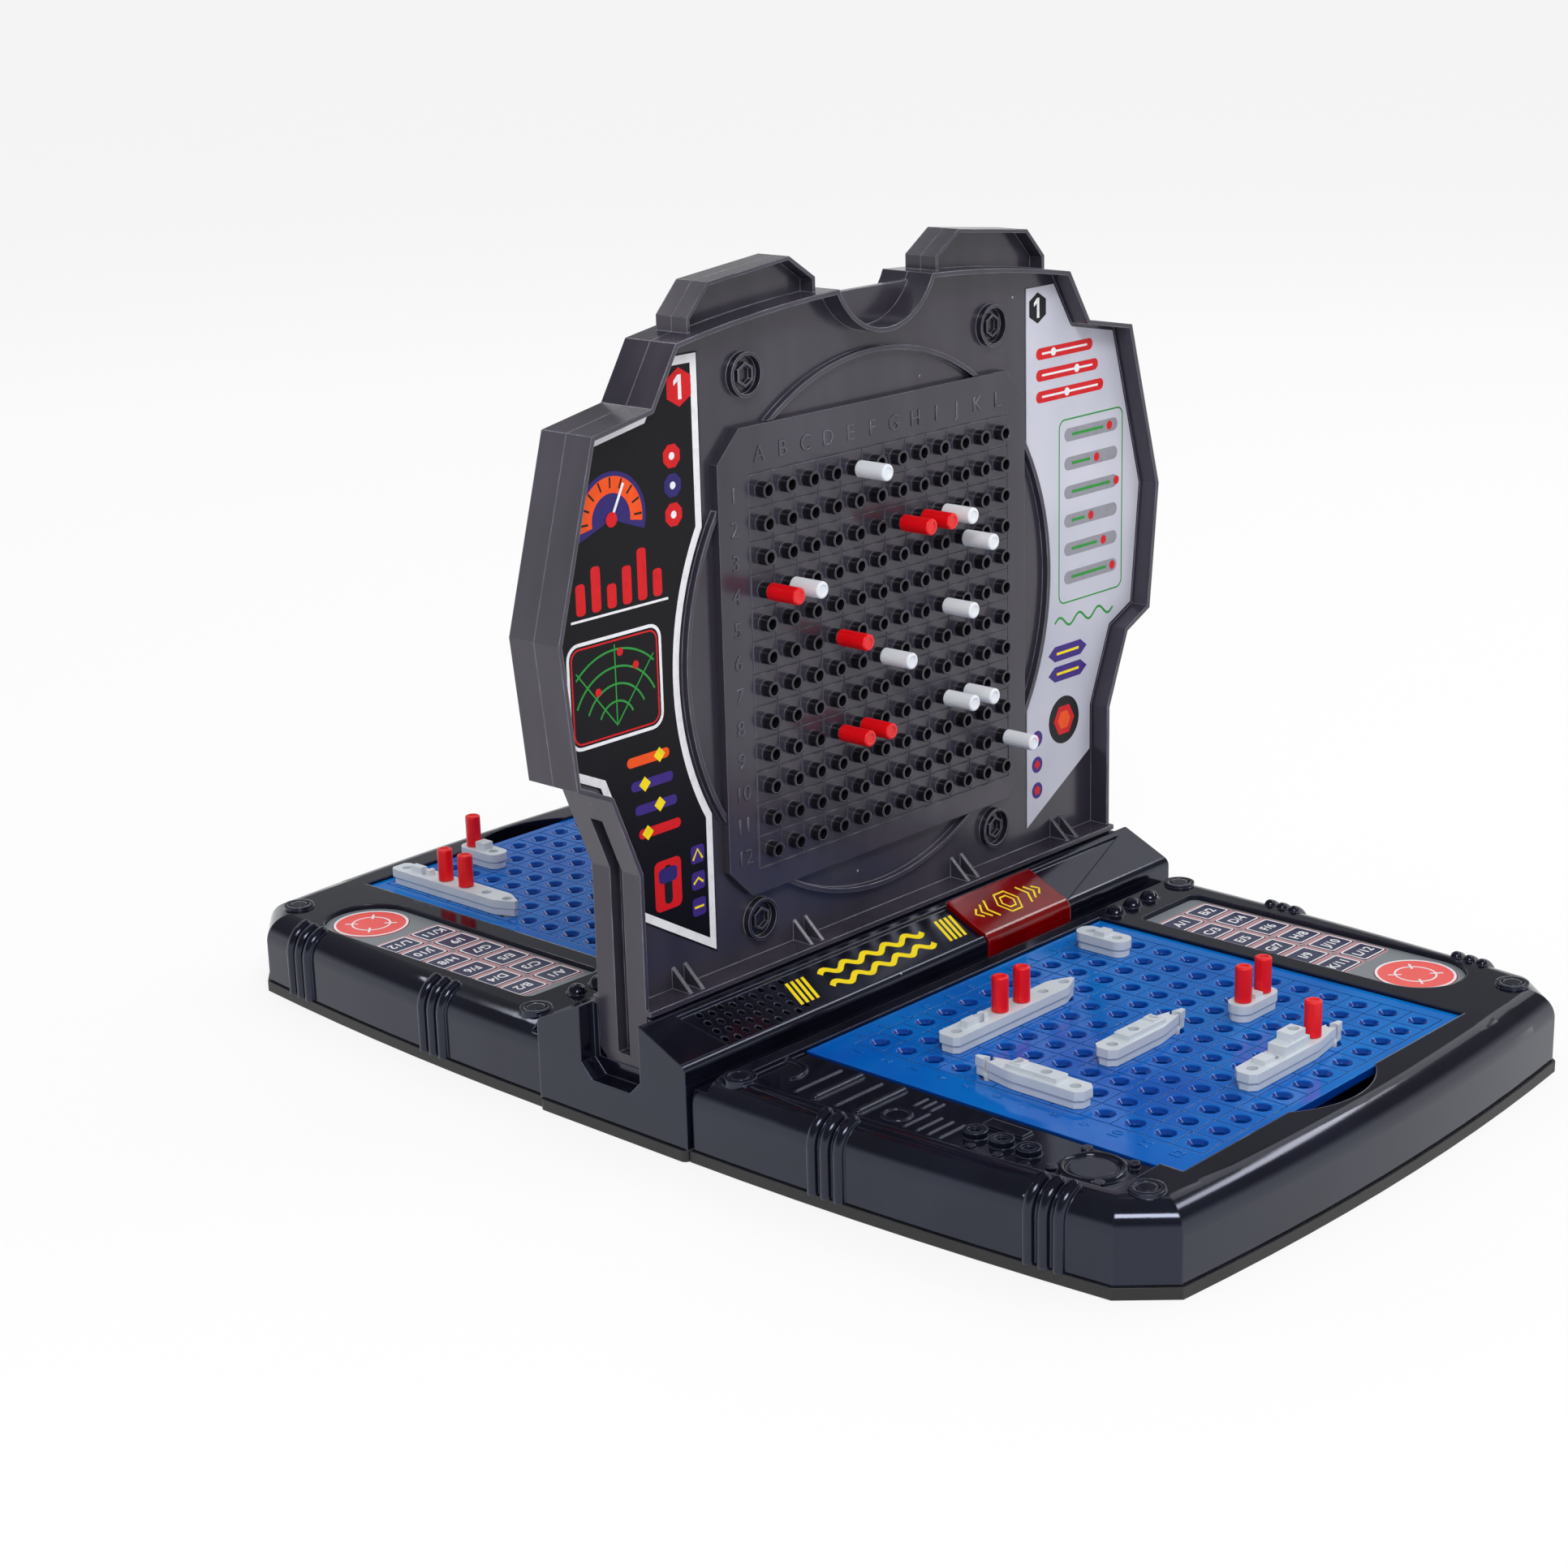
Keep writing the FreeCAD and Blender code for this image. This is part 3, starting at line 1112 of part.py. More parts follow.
def ship(cells, bow, stern, blocks, blunt=False, holes=None):
    """Hull with its deck blocks, peg holes and two pins, along X with its first cell at the origin."""
    pitch = size("sea_pitch")
    length = cells * pitch - 1.2
    middle = Vector((cells - 1) * pitch / 2, 0, 0)
    width = size("hull_width")
    lip = size("hull_lip")
    step = hull_low + size("hull_step")
    if blunt:
        upper_plan = [(-length / 2, -width / 2, width * 0.45), (length / 2, -width / 2, width * 0.45),
                      (length / 2, width / 2, width * 0.45), (-length / 2, width / 2, width * 0.45)]
        small = length / 2 - lip
        thin = width / 2 - lip
        lower_plan = [(-small, -thin, thin * 0.9), (small, -thin, thin * 0.9), (small, thin, thin * 0.9),
                      (-small, thin, thin * 0.9)]
    else:
        upper_plan = hull_plan(length, width, bow, stern)
        lower_plan = hull_plan(length - 2 * lip, width - 2 * lip, bow, stern)
    shape = slab(lower_plan, hull_low, step)
    shape = shape.fuse(slab(upper_plan, step, hull_deck))
    parts = []
    for start, end, breadth, height in blocks:
        parts.append(block(start * pitch - middle.x, end * pitch - middle.x, -breadth / 2, breadth / 2,
                           hull_deck - 0.2, hull_deck + height))
    if parts:
        shape = shape.multiFuse(parts)
    cuts = []
    tops = dict()
    for cell in range(cells) if holes is None else holes:
        x = cell * pitch - middle.x
        top = hull_deck
        for start, end, breadth, height in blocks:
            if start * pitch - middle.x < x < end * pitch - middle.x:
                top = max(top, hull_deck + height)
        tops[cell] = top
        cuts.append(upright(size("stud_hole"), size("deck_hole_depth") + 1, x, 0, top - size("deck_hole_depth")))
    shape = shape.cut(Part.makeCompound(cuts))
    for cell in (0, cells - 1):
        pin = upright(size("ship_pin"), size("ship_pin_length") + 0.5, cell * pitch - middle.x, 0,
                      hull_low - size("ship_pin_length"))
        shape = shape.fuse(pin)
    shape = shape.removeSplitter()
    shape.translate(middle)
    return shape, tops


def on_cell(shape, column, row, turn):
    """Set a ship with its first cell on a hole of the near plate, turned about that hole."""
    x, y = sea_hole_at(column, row)
    shape = shape.copy()
    shape.rotate(Vector(0, 0, 0), Vector(0, 0, 1), turn)
    shape.translate(Vector(x, y, 0))
    return shape


def peg():
    """Peg standing on z = 0 with its split tip below."""
    body = upright(size("peg_diameter"), size("peg_length"), 0, 0, 0)
    rims = [edge for edge in body.Edges if edge.BoundBox.ZMin > size("peg_length") / 2]
    body = body.makeFillet(size("peg_round"), rims)
    body = body.cut(upright(size("peg_dimple"), size("peg_dimple_depth") + 1, 0, 0,
                            size("peg_length") - size("peg_dimple_depth")))
    tip = upright(size("peg_tip_diameter"), size("peg_tip_length"), 0, 0, -size("peg_tip_length"))
    half = size("peg_slit") / 2
    slit = block(-half, half, -size("peg_tip_diameter"), size("peg_tip_diameter"),
                 -size("peg_tip_length") - 1, -size("peg_tip_length") * 0.3)
    return body.fuse(tip.cut(slit)).removeSplitter()


def ship_pegs(cells, tops, column, row, step):
    """Pegs in chosen cells of a ship whose first cell is at (column, row)."""
    pegs = []
    for cell in cells:
        x, y = sea_hole_at(column + step[0] * cell, row + step[1] * cell)
        made = peg()
        made.translate(Vector(x, y, tops[cell] + size("snug_gap")))
        pegs.append(made)
    return Part.makeCompound(pegs)


CARRIER = dict(cells=6, bow=7.0, stern=1.5, blocks=[(0.35, 1.3, 2.6, 2.0)])
CRUISER = dict(cells=4, bow=15.0, stern=2.0, blocks=[(0.45, 2.2, 5.4, 1.5), (1.75, 2.1, 4.0, 2.2)])
DESTROYER = dict(cells=5, bow=17.0, stern=2.0,
                 blocks=[(0.3, 0.8, 4.4, 1.6), (1.2, 2.4, 6.0, 3.0), (1.55, 2.25, 5.0, 5.6)])
BOAT = dict(cells=2, bow=0.0, stern=0.0, blocks=[(0.32, 0.68, 4.6, 1.4)], blunt=True)
SUBMARINE = dict(cells=2, bow=0.0, stern=0.0, blocks=[(0.3, 0.75, 4.0, 2.6)], blunt=True)


def fleet():
    """Ships where the photograph shows them, with their pegs."""
    for label, pattern, column, row, turn in (
            ("near_carrier", CARRIER, 1, 9, 0), ("near_cruiser_one", CRUISER, 0, 4, 90),
            ("near_cruiser_two", CRUISER, 3, 5, 0), ("near_destroyer", DESTROYER, 4, 1, 0),
            ("near_gunboat", BOAT, 8, 4, 0), ("near_patrol_boat", BOAT, 10, 10, 90)):
        shape, tops = ship(**pattern)
        piece(label, on_cell(shape, column, row, turn))
    for label, pattern, column, row, turn in (
            ("far_carrier", CARRIER, 11, 0, 90), ("far_submarine", SUBMARINE, 8, 0, 90)):
        shape, tops = ship(**pattern)
        piece(label, on_cell(shape, column, row, turn), HALF_TURN)
    for label, pattern, cells, column, row, step, placement in (
            ("near_carrier_pegs", CARRIER, (2, 3), 1, 9, (1, 0), FreeCAD.Placement()),
            ("near_destroyer_peg", DESTROYER, (3,), 4, 1, (1, 0), FreeCAD.Placement()),
            ("near_gunboat_pegs", BOAT, (0, 1), 8, 4, (1, 0), FreeCAD.Placement()),
            ("far_carrier_pegs", CARRIER, (2, 3), 11, 0, (0, 1), HALF_TURN),
            ("far_submarine_peg", SUBMARINE, (0,), 8, 0, (0, 1), HALF_TURN)):
        shape, tops = ship(**pattern)
        piece(label, ship_pegs(cells, tops, column, row, step), placement)


# Screen: the near half lies between its rim at -Y and the parting plane at Y = 0
screen_half = size("screen_thickness") / 2
face_front = -(screen_half - size("face_sink"))
face_back = face_front + size("face_wall")
panel_front = face_front - size("panel_raise")
foot_low = size("slot_floor") + size("snug_gap")


def screen_edge(inset, low):
    """Outline of the screen above its flange: straight runs, a bowed top edge and a round scoop in it."""
    right = [Vector(size("leg_half"), 0, low), Vector(size("leg_half"), 0, size("waist_height")),
             Vector(size("hip_half"), 0, size("hip_height")),
             Vector(size("wing_low_half"), 0, size("wing_low_height")),
             Vector(size("wing_half"), 0, size("wing_height")),
             Vector(size("shoulder_half"), 0, size("shoulder_height")),
             Vector(size("neck_half"), 0, size("neck_height")),
             Vector(size("brow_half"), 0, size("brow_height"))]
    left = [Vector(-point.x, 0, point.z) for point in reversed(right)]
    edges = [Part.makeLine(right[number], right[number + 1]) for number in range(len(right) - 1)]
    crown = (size("brow_half") + size("scoop_half")) / 2
    bowed = edge_level(crown) + size("top_bow")
    tip = Vector(size("scoop_half"), 0, size("top_height"))
    far_tip = Vector(-tip.x, 0, tip.z)
    scoop = Vector(0, 0, size("top_height") - size("scoop_depth"))
    edges.append(Part.Arc(right[-1], Vector(crown, 0, bowed), tip).toShape())
    edges.append(Part.Arc(tip, scoop, far_tip).toShape())
    edges.append(Part.Arc(far_tip, Vector(-crown, 0, bowed), left[0]).toShape())
    edges += [Part.makeLine(left[number], left[number + 1]) for number in range(len(left) - 1)]
    edges.append(Part.makeLine(left[-1], right[0]))
    wire = Part.Wire(edges)
    if inset:
        wire = wire.makeOffset2D(-inset)
    return wire


def screen_slab(inset, low, y0, y1):
    face = Part.Face(screen_edge(inset, low))
    face.translate(Vector(0, y0, 0))
    return face.extrude(Vector(0, y1 - y0, 0))


def edge_level(x):
    """Height at x of the line between the ends of the top edge."""
    share = (size("brow_half") - abs(x)) / (size("brow_half") - size("scoop_half"))
    return size("brow_height") + share * (size("top_height") - size("brow_height"))


def tower_section(side, inset):
    """Outline of a tower with its bevelled shoulders, and its foot inside the screen's edge."""
    rise = size("tower_height")
    inner, outer = size("tower_inner"), size("tower_outer")
    inner_top, outer_top = inner + size("inner_bevel_x"), outer - size("outer_bevel_x")
    high, low = edge_level(inner_top) + rise - inset, edge_level(outer_top) + rise - inset
    foot = size("brow_height") - 1
    corners = [(inner + inset, foot), (inner + inset, high + inset * 0.4 - size("inner_bevel_z")),
               (inner_top + inset * 0.3, high), (outer_top - inset * 0.4, low),
               (outer - inset, low + inset * 0.5 - size("outer_bevel_z")), (outer - inset, foot)]
    return sharp([(side * a, b) for a, b in corners])


def tower(side):
    """Solid block on the top edge."""
    return sheet_of(tower_section(side, 0), -size("tower_thickness") / 2, 0)


def tower_front(side):
    """Sunk front of a tower, down to the top edge."""
    wall = size("tower_wall")
    front = sheet_of(tower_section(side, wall), -size("tower_thickness") / 2 - 1, -wall)
    return front.cut(screen_slab(0, size("flange_height"), -screen_half * 2, screen_half))


def scoop_web():
    """Web at the parting plane that closes the scoop."""
    reach, depth, top = size("scoop_half"), size("scoop_depth"), size("top_height")
    radius = (reach * reach + depth * depth) / (2 * depth)
    disc = toward_player(2 * radius + size("screen_rim"), 0, -size("web_thickness"), 0, top - depth + radius)
    return disc.common(block(-reach * 2, reach * 2, -screen_half, screen_half, 0, top - size("web_drop")))


def channel(side, wall):
    """Channel down the side of a leg, or its lining when it has a wall."""
    deep = side * (size("leg_half") - size("channel_depth") - wall)
    x0, x1 = sorted((deep, side * size("leg_half") * 1.2))
    front = face_front if wall else -size("channel_width") / 2
    return block(x0, x1, front, 0 if wall else 1, foot_low + size("leg_cut"), size("hip_height") - 8 + wall)


def stud_places():
    total = count("grid_count")
    first = size("stud_shift") - (total - 1) * size("stud_pitch") / 2
    for column in range(total):
        for row in range(total):
            yield first + column * size("stud_pitch"), size("stud_top_row") - row * size("stud_pitch")


def toward_player(diameter, y0, y1, x, z):
    """Cylinder along Y from y0 out to y1, which is nearer the near player."""
    return Part.makeCylinder(diameter / 2, y0 - y1, Vector(x, y0, z), Vector(0, -1, 0))


def panel_corners(gap):
    """Outline of the stud plate with its cut corners, or of the room for it."""
    half, cut = size("panel_half") + gap, size("panel_cut")
    low, high = size("panel_low") - gap, size("panel_high") + gap
    return sharp([(-half, low + cut), (-half + cut, low), (half - cut, low), (half, low + cut),
                  (half, high - cut), (half - cut, high), (-half + cut, high), (-half, high - cut)])


def peg_panel():
    """Plate of studs on the recessed face of the near half."""
    panel = sheet_of(panel_corners(0), face_front - size("snug_gap") * 0.4, panel_front)
    total = count("grid_count")
    pitch = size("stud_pitch")
    left = size("stud_shift") - total * pitch / 2
    top = size("stud_top_row") + pitch / 2
    line = size("line_width") / 2
    lines = []
    for number in range(total + 1):
        x = left + number * pitch
        z = top - number * pitch
        lines.append(block(x - line, x + line, panel_front - 1, panel_front + size("line_depth"),
                           top - total * pitch, top))
        lines.append(block(left, left + total * pitch, panel_front - 1, panel_front + size("line_depth"),
                           z - line, z + line))
    panel = panel.cut(lines[0].multiFuse(lines[1:]))
    studs = [toward_player(size("stud_diameter"), panel_front + 1.0, panel_front - size("stud_height"), x, z)
             for x, z in stud_places()]
    holes = [toward_player(size("stud_hole"), panel_front + 1.2, panel_front - size("stud_height") - 1, x, z)
             for x, z in stud_places()]
    return panel.multiFuse(studs).cut(Part.makeCompound(holes)).removeSplitter()


def round_ridge():
    """Round ridge on the recessed face, open where the stud plate lies across it."""
    outer = size("ring_radius") + size("ring_width") / 2
    inner = size("ring_radius") - size("ring_width") / 2
    front = face_front - size("ring_raise")
    ridge = toward_player(2 * outer, face_front + 0.5, front, 0, size("ring_height"))
    ridge = ridge.cut(toward_player(2 * inner, face_front + 1, front - 1, 0, size("ring_height")))
    return ridge.cut(sheet_of(panel_corners(size("snug_gap")), face_front, front - 1))


def ring_bosses():
    bosses = []
    front = face_front - size("boss_raise")
    for x in (-size("boss_half"), size("boss_half")):
        for z in (size("boss_low"), size("boss_high")):
            ring = toward_player(size("boss_diameter"), face_front + 0.5, front, x, z)
            ring = ring.cut(toward_player(size("boss_bore"), face_front, front - 1, x, z))
            reach = size("hex_size") / math.sqrt(3)
            hexagon = sharp([(x + reach * math.sin(math.radians(60 * turn)),
                              z + reach * math.cos(math.radians(60 * turn))) for turn in range(6)])
            smaller = sharp([(x + 0.8 * reach * math.sin(math.radians(60 * turn)),
                              z + 0.8 * reach * math.cos(math.radians(60 * turn))) for turn in range(6)])
            collar = sheet_of(hexagon, face_front + 0.5, front + 0.6)
            bosses.append(ring.fuse(collar.cut(sheet_of(smaller, face_front, front - 1))))
    return bosses


def gussets():
    shapes = []
    low = size("flange_height") + size("flange_thickness") - 0.2
    front = -(screen_half + size("flange_proud") * 0.4)
    for middle in (-size("gusset_outer"), -size("gusset_inner"), size("gusset_inner"), size("gusset_outer")):
        for side in (-1, 1):
            x = middle + side * size("gusset_gap") / 2
            half = size("gusset_width") / 2
            section = sharp([(face_front + 0.3, low), (front, low),
                             (face_front + 0.3, low + size("gusset_height"))])
            shapes.append(beam(section, x - half, x + half))
    return shapes


def screen_near_half():
    rim = size("screen_rim")
    low = size("flange_height")
    flange_top = low + size("flange_thickness")
    whole = screen_slab(0, low, -screen_half, 0)
    frame = whole.multiFuse([tower(-1), tower(1)])
    sunk = screen_slab(rim, low - rim + size("flange_thickness"), -screen_half - 1, face_front)
    back = screen_slab(rim, low, face_back, 1)
    half = frame.cut(sunk).cut(back).cut(tower_front(-1)).cut(tower_front(1))
    additions = [block(-size("leg_half"), size("leg_half"), -(screen_half + size("flange_proud")), 0,
                       low, flange_top)]
    inner_leg = size("leg_half") - size("leg_width")
    tongue = screen_half - size("leg_cut")
    additions.append(block(-inner_leg - 1, inner_leg + 1, -tongue, 0, low - size("tongue_drop"), low + 0.5))
    for side in (-1, 1):
        section = sharp([(0, foot_low), (-screen_half + size("leg_cut"), foot_low),
                         (-screen_half, foot_low + size("leg_cut")), (-screen_half, low + 0.5),
                         (0, low + 0.5)])
        x0, x1 = sorted((side * inner_leg, side * size("leg_half")))
        additions.append(beam(section, x0, x1))
        additions.append(channel(side, rim).common(whole))
    additions += [scoop_web(), round_ridge()] + ring_bosses() + gussets()
    half = half.multiFuse(additions)
    return half.cut(Part.makeCompound([channel(-1, 0), channel(1, 0)])).removeSplitter()


def sticker(side):
    """Sticker on the recessed face between the rim and the round ridge."""
    gap = size("screen_rim") + size("sticker_border")
    field = screen_slab(gap, size("flange_height") - gap, face_front - size("snug_gap") * 0.2
                        - size("sticker_thickness"), face_front - size("snug_gap") * 0.2)
    inner = size("sticker_inner")
    wide = size("wing_half") * 1.2
    low, foot = size("sticker_low"), size("sticker_foot")
    rim = size("leg_half") - gap
    high = size("sticker_high")
    corners = sharp([(side * inner, low), (side * rim, foot), (side * wide, foot), (side * wide, high),
                     (side * inner, high)])
    keep = sheet_of(corners, -screen_half, screen_half)
    disc = toward_player(2 * (size("ring_radius") + size("ring_width") / 2 + size("sticker_border")),
                         screen_half, -screen_half, 0, size("ring_height"))
    return field.common(keep).cut(disc)


def screen_stickers():
    made = []
    for side in (-1, 1):
        made += both_sides(sticker(side))
    return Part.makeCompound(made)


WHITE_SHOTS = ("e1", "i3", "b4", "j4", "i6", "f7", "i9", "j9", "l11")
RED_SHOTS = ("g3", "h3", "a4", "d6", "d9", "e9")


def screen_pegs(shots):
    """Pegs in the near screen's studs, named by column letter and row number."""
    first = size("stud_shift") - (count("grid_count") - 1) * size("stud_pitch") / 2
    pegs = []
    for shot in shots:
        column = "abcdefghijkl".index(shot[0])
        row = int(shot[1:]) - 1
        made = peg()
        made.rotate(Vector(0, 0, 0), Vector(1, 0, 0), 90)
        made.translate(Vector(first + column * size("stud_pitch"),
                              panel_front - size("stud_height") - size("snug_gap"),
                              size("stud_top_row") - row * size("stud_pitch")))
        pegs.append(made)
    return Part.makeCompound(pegs)


# Assembly
boards, board_posts = circuit_boards()
piece("console_cover", console_cover())
piece("console_base", console_base().multiFuse(board_posts).removeSplitter())
battery_door()
batteries()
power_switch()
piece("circuit_boards", boards)
piece("speaker", speaker())
piece("hit_windows", hit_windows())
near_shell = tray_shell()
piece("near_tray_shell", near_shell)
piece("far_tray_shell", near_shell, HALF_TURN)
piece("tray_bases", Part.makeCompound(both_sides(tray_base())))
piece("metal_fittings", Part.makeCompound([battery_contacts(), case_screws()]))
piece("keypad_films", Part.makeCompound(both_sides(keypad_film())))
keypad_keys("near", 1)
keypad_keys("far", -1)
near_plate = sea_plate()
piece("near_sea_plate", near_plate)
piece("far_sea_plate", near_plate, HALF_TURN)
fleet()
near_half = screen_near_half()
piece("screen_near_half", near_half)
piece("screen_far_half", near_half, HALF_TURN)
piece("peg_panels", Part.makeCompound(both_sides(peg_panel())))
piece("screen_stickers", screen_stickers())
piece("screen_white_pegs", screen_pegs(WHITE_SHOTS))
piece("screen_red_pegs", screen_pegs(RED_SHOTS))

# Check and write
doc.recompute()
for item in doc.Objects:
    if "Invalid" in item.State or "Error" in item.State:
        raise RuntimeError("failed: " + item.Label)
for item in PIECES:
    if item.Shape.isNull() or not item.Shape.isValid() or not item.Shape.Solids:
        raise RuntimeError("bad shape: " + item.Label)
os.makedirs("parts", exist_ok=True)
for item in PIECES:
    item.Shape.exportStep("parts/%s.step" % item.Label)
    box = item.Shape.BoundBox
    print("%-22s solids %3d volume %9.1f  z %.2f to %.2f" % (
        item.Label, len(item.Shape.Solids), item.Shape.Volume, box.ZMin, box.ZMax))
print("pieces", len(PIECES))
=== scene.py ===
import math

import bmesh
import bpy
from mathutils import Matrix, Vector


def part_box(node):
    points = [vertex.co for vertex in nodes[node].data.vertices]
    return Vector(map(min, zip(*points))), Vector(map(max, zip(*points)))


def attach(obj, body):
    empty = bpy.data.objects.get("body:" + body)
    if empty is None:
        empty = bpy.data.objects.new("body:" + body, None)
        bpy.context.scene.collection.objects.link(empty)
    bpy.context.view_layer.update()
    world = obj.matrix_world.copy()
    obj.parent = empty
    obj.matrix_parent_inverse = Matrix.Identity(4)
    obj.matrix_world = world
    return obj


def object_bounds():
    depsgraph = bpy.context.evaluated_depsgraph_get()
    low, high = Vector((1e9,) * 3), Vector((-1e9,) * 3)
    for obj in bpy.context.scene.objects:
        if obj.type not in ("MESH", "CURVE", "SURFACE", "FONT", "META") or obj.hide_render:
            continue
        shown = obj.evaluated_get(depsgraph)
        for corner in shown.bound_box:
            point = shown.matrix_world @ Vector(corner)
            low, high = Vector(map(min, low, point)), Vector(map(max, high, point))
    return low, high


# Looks of the fleet guessing case. X runs along the screen, the near player sits at -Y, Z is up.
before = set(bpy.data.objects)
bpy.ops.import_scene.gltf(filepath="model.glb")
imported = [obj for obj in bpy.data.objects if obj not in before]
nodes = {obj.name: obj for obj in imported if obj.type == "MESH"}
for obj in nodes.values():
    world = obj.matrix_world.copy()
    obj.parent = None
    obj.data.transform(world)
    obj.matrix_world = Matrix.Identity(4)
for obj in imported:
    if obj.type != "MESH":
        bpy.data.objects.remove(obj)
cad_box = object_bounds()

MM = 0.001
HALF_TURN = Matrix.Rotation(math.pi, 4, "Z")
LETTERS = "ABCDEFGHIJKL"
SIDES = ("near", "far")


# Shader effects
def place(tree, kind, inputs=None, **settings):
    """One shader node, its settings and its inputs, linked where the value is a socket."""
    node = tree.nodes.new("ShaderNode" + kind)
    for label, value in settings.items():
        setattr(node, label, value)
    for label, value in (inputs or {}).items():
        if isinstance(value, bpy.types.NodeSocket):
            tree.links.new(value, node.inputs[label])
        else:
            node.inputs[label].default_value = value
    return node


def effect(name, takes, gives):
    """Empty node group with named inputs and outputs."""
    tree = bpy.data.node_groups.new(name, "ShaderNodeTree")
    for label, kind, value in takes:
        socket = tree.interface.new_socket(label, in_out="INPUT", socket_type="NodeSocket" + kind)
        socket.default_value = value
    for label, kind in gives:
        tree.interface.new_socket(label, in_out="OUTPUT", socket_type="NodeSocket" + kind)
    start = tree.nodes.new("NodeGroupInput")
    end = tree.nodes.new("NodeGroupOutput")
    return tree, start.outputs, end.inputs


def use(tree, group, **values):
    """Places a group in a material, with its own values."""
    node = tree.nodes.new("ShaderNodeGroup")
    node.node_tree = group
    for label, value in values.items():
        socket = node.inputs[label.replace("_", " ")]
        if isinstance(value, bpy.types.NodeSocket):
            tree.links.new(value, socket)
        else:
            socket.default_value = value
    return node.outputs


def moulded_skin():
    """Mottled colour, uneven gloss and fine grain of moulded plastic, with faint flow streaks."""
    tree, given, made = effect(
        "moulded_skin",
        [("Pale", "Color", (0.5, 0.5, 0.5, 1)), ("Deep", "Color", (0.4, 0.4, 0.4, 1)),
         ("Mottle", "Float", 60.0), ("Streak", "Float", 0.3), ("Gloss", "Float", 0.3),
         ("Gloss Spread", "Float", 0.1), ("Grain", "Float", 2500.0)],
        [("Colour", "Color"), ("Roughness", "Float"), ("Height", "Float")])
    spot = place(tree, "TexCoord").outputs["Object"]
    mottle = place(tree, "TexNoise", {"Vector": spot, "Scale": given["Mottle"], "Detail": 3.0})
    drawn = place(tree, "Mapping", {"Vector": spot, "Scale": (60.0, 60.0, 5.0)})
    streak = place(tree, "TexNoise", {"Vector": drawn.outputs[0], "Scale": 1.0, "Detail": 2.0})
    share = place(tree, "Mix", {0: given["Streak"], 2: mottle.outputs[0], 3: streak.outputs[0]})
    spread = place(tree, "MapRange", {"Value": share.outputs[0], "From Min": 0.3, "From Max": 0.7})
    colour = place(tree, "Mix", {0: spread.outputs[0], 6: given["Deep"], 7: given["Pale"]},
                   data_type="RGBA")
    tree.links.new(colour.outputs[2], made["Colour"])
    haze = place(tree, "TexNoise", {"Vector": spot, "Scale": 22.0, "Detail": 4.0, "Roughness": 0.6})
    centred = place(tree, "Math", {0: haze.outputs[0], 1: 0.5}, operation="SUBTRACT")
    rough = place(tree, "Math", {0: centred.outputs[0], 1: given["Gloss Spread"], 2: given["Gloss"]},
                  operation="MULTIPLY_ADD")
    tree.links.new(rough.outputs[0], made["Roughness"])
    grain = place(tree, "TexNoise", {"Vector": spot, "Scale": given["Grain"], "Detail": 2.0})
    tree.links.new(grain.outputs[0], made["Height"])
    return tree


def worn_and_highlit_edges():
    """Rounded shading at the edges, and a mask of where they are lightened: partly rubbed wear, partly a
    painted highlight.
    """
    tree, given, made = effect("worn_and_highlit_edges", [("Width", "Float", 0.0004)],
                               [("Normal", "Vector"), ("Edge", "Float")])
    soft = place(tree, "Bevel", {"Radius": given["Width"]}, samples=6)
    flat = place(tree, "NewGeometry")
    turn = place(tree, "VectorMath", {0: soft.outputs[0], 1: flat.outputs["Normal"]}, operation="DOT_PRODUCT")
    edge = place(tree, "MapRange", {"Value": turn.outputs["Value"], "From Min": 0.99, "From Max": 0.85})
    spot = place(tree, "TexCoord").outputs["Object"]
    patchy = place(tree, "TexNoise", {"Vector": spot, "Scale": 140.0, "Detail": 3.0})
    patchy_level = place(tree, "MapRange", {"Value": patchy.outputs[0], "From Min": 0.35, "From Max": 0.7,
                                    "To Min": 0.35, "To Max": 1.0})
    mask = place(tree, "Math", {0: edge.outputs[0], 1: patchy_level.outputs[0]}, operation="MULTIPLY")
    tree.links.new(soft.outputs[0], made["Normal"])
    tree.links.new(mask.outputs[0], made["Edge"])
    return tree


def dust_specks():
    """A few pale specks of dust, one in a share of the cells."""
    tree, given, made = effect("dust_specks", [("Cells", "Float", 90.0), ("Share", "Float", 0.2)],
                               [("Specks", "Float")])
    spot = place(tree, "TexCoord").outputs["Object"]
    cell = place(tree, "TexVoronoi", {"Vector": spot, "Scale": given["Cells"], "Randomness": 1.0})
    near = place(tree, "MapRange", {"Value": cell.outputs["Distance"], "From Min": 0.045, "From Max": 0.02})
    draw = place(tree, "SeparateColor", {0: cell.outputs["Color"]})
    kept = place(tree, "Math", {0: draw.outputs[0], 1: given["Share"]}, operation="LESS_THAN")
    mask = place(tree, "Math", {0: near.outputs[0], 1: kept.outputs[0]}, operation="MULTIPLY")
    tree.links.new(mask.outputs[0], made["Specks"])
    return tree


def ink_screen():
    """Ink with the slight unevenness of a silk screen."""
    tree, given, made = effect(
        "ink_screen",
        [("Ink", "Color", (1, 1, 1, 1)), ("Thin", "Color", (0.8, 0.8, 0.8, 1))],
        [("Colour", "Color"), ("Roughness", "Float"), ("Height", "Float")])
    spot = place(tree, "TexCoord").outputs["Object"]
    cover = place(tree, "TexNoise", {"Vector": spot, "Scale": 420.0, "Detail": 4.0})
    thin = place(tree, "MapRange", {"Value": cover.outputs[0], "From Min": 0.5, "From Max": 0.85})
    colour = place(tree, "Mix", {0: thin.outputs[0], 6: given["Ink"], 7: given["Thin"]}, data_type="RGBA")
    rough = place(tree, "MapRange", {"Value": cover.outputs[0], "To Min": 0.3, "To Max": 0.5})
    tree.links.new(colour.outputs[2], made["Colour"])
    tree.links.new(rough.outputs[0], made["Roughness"])
    tree.links.new(cover.outputs[0], made["Height"])
    return tree


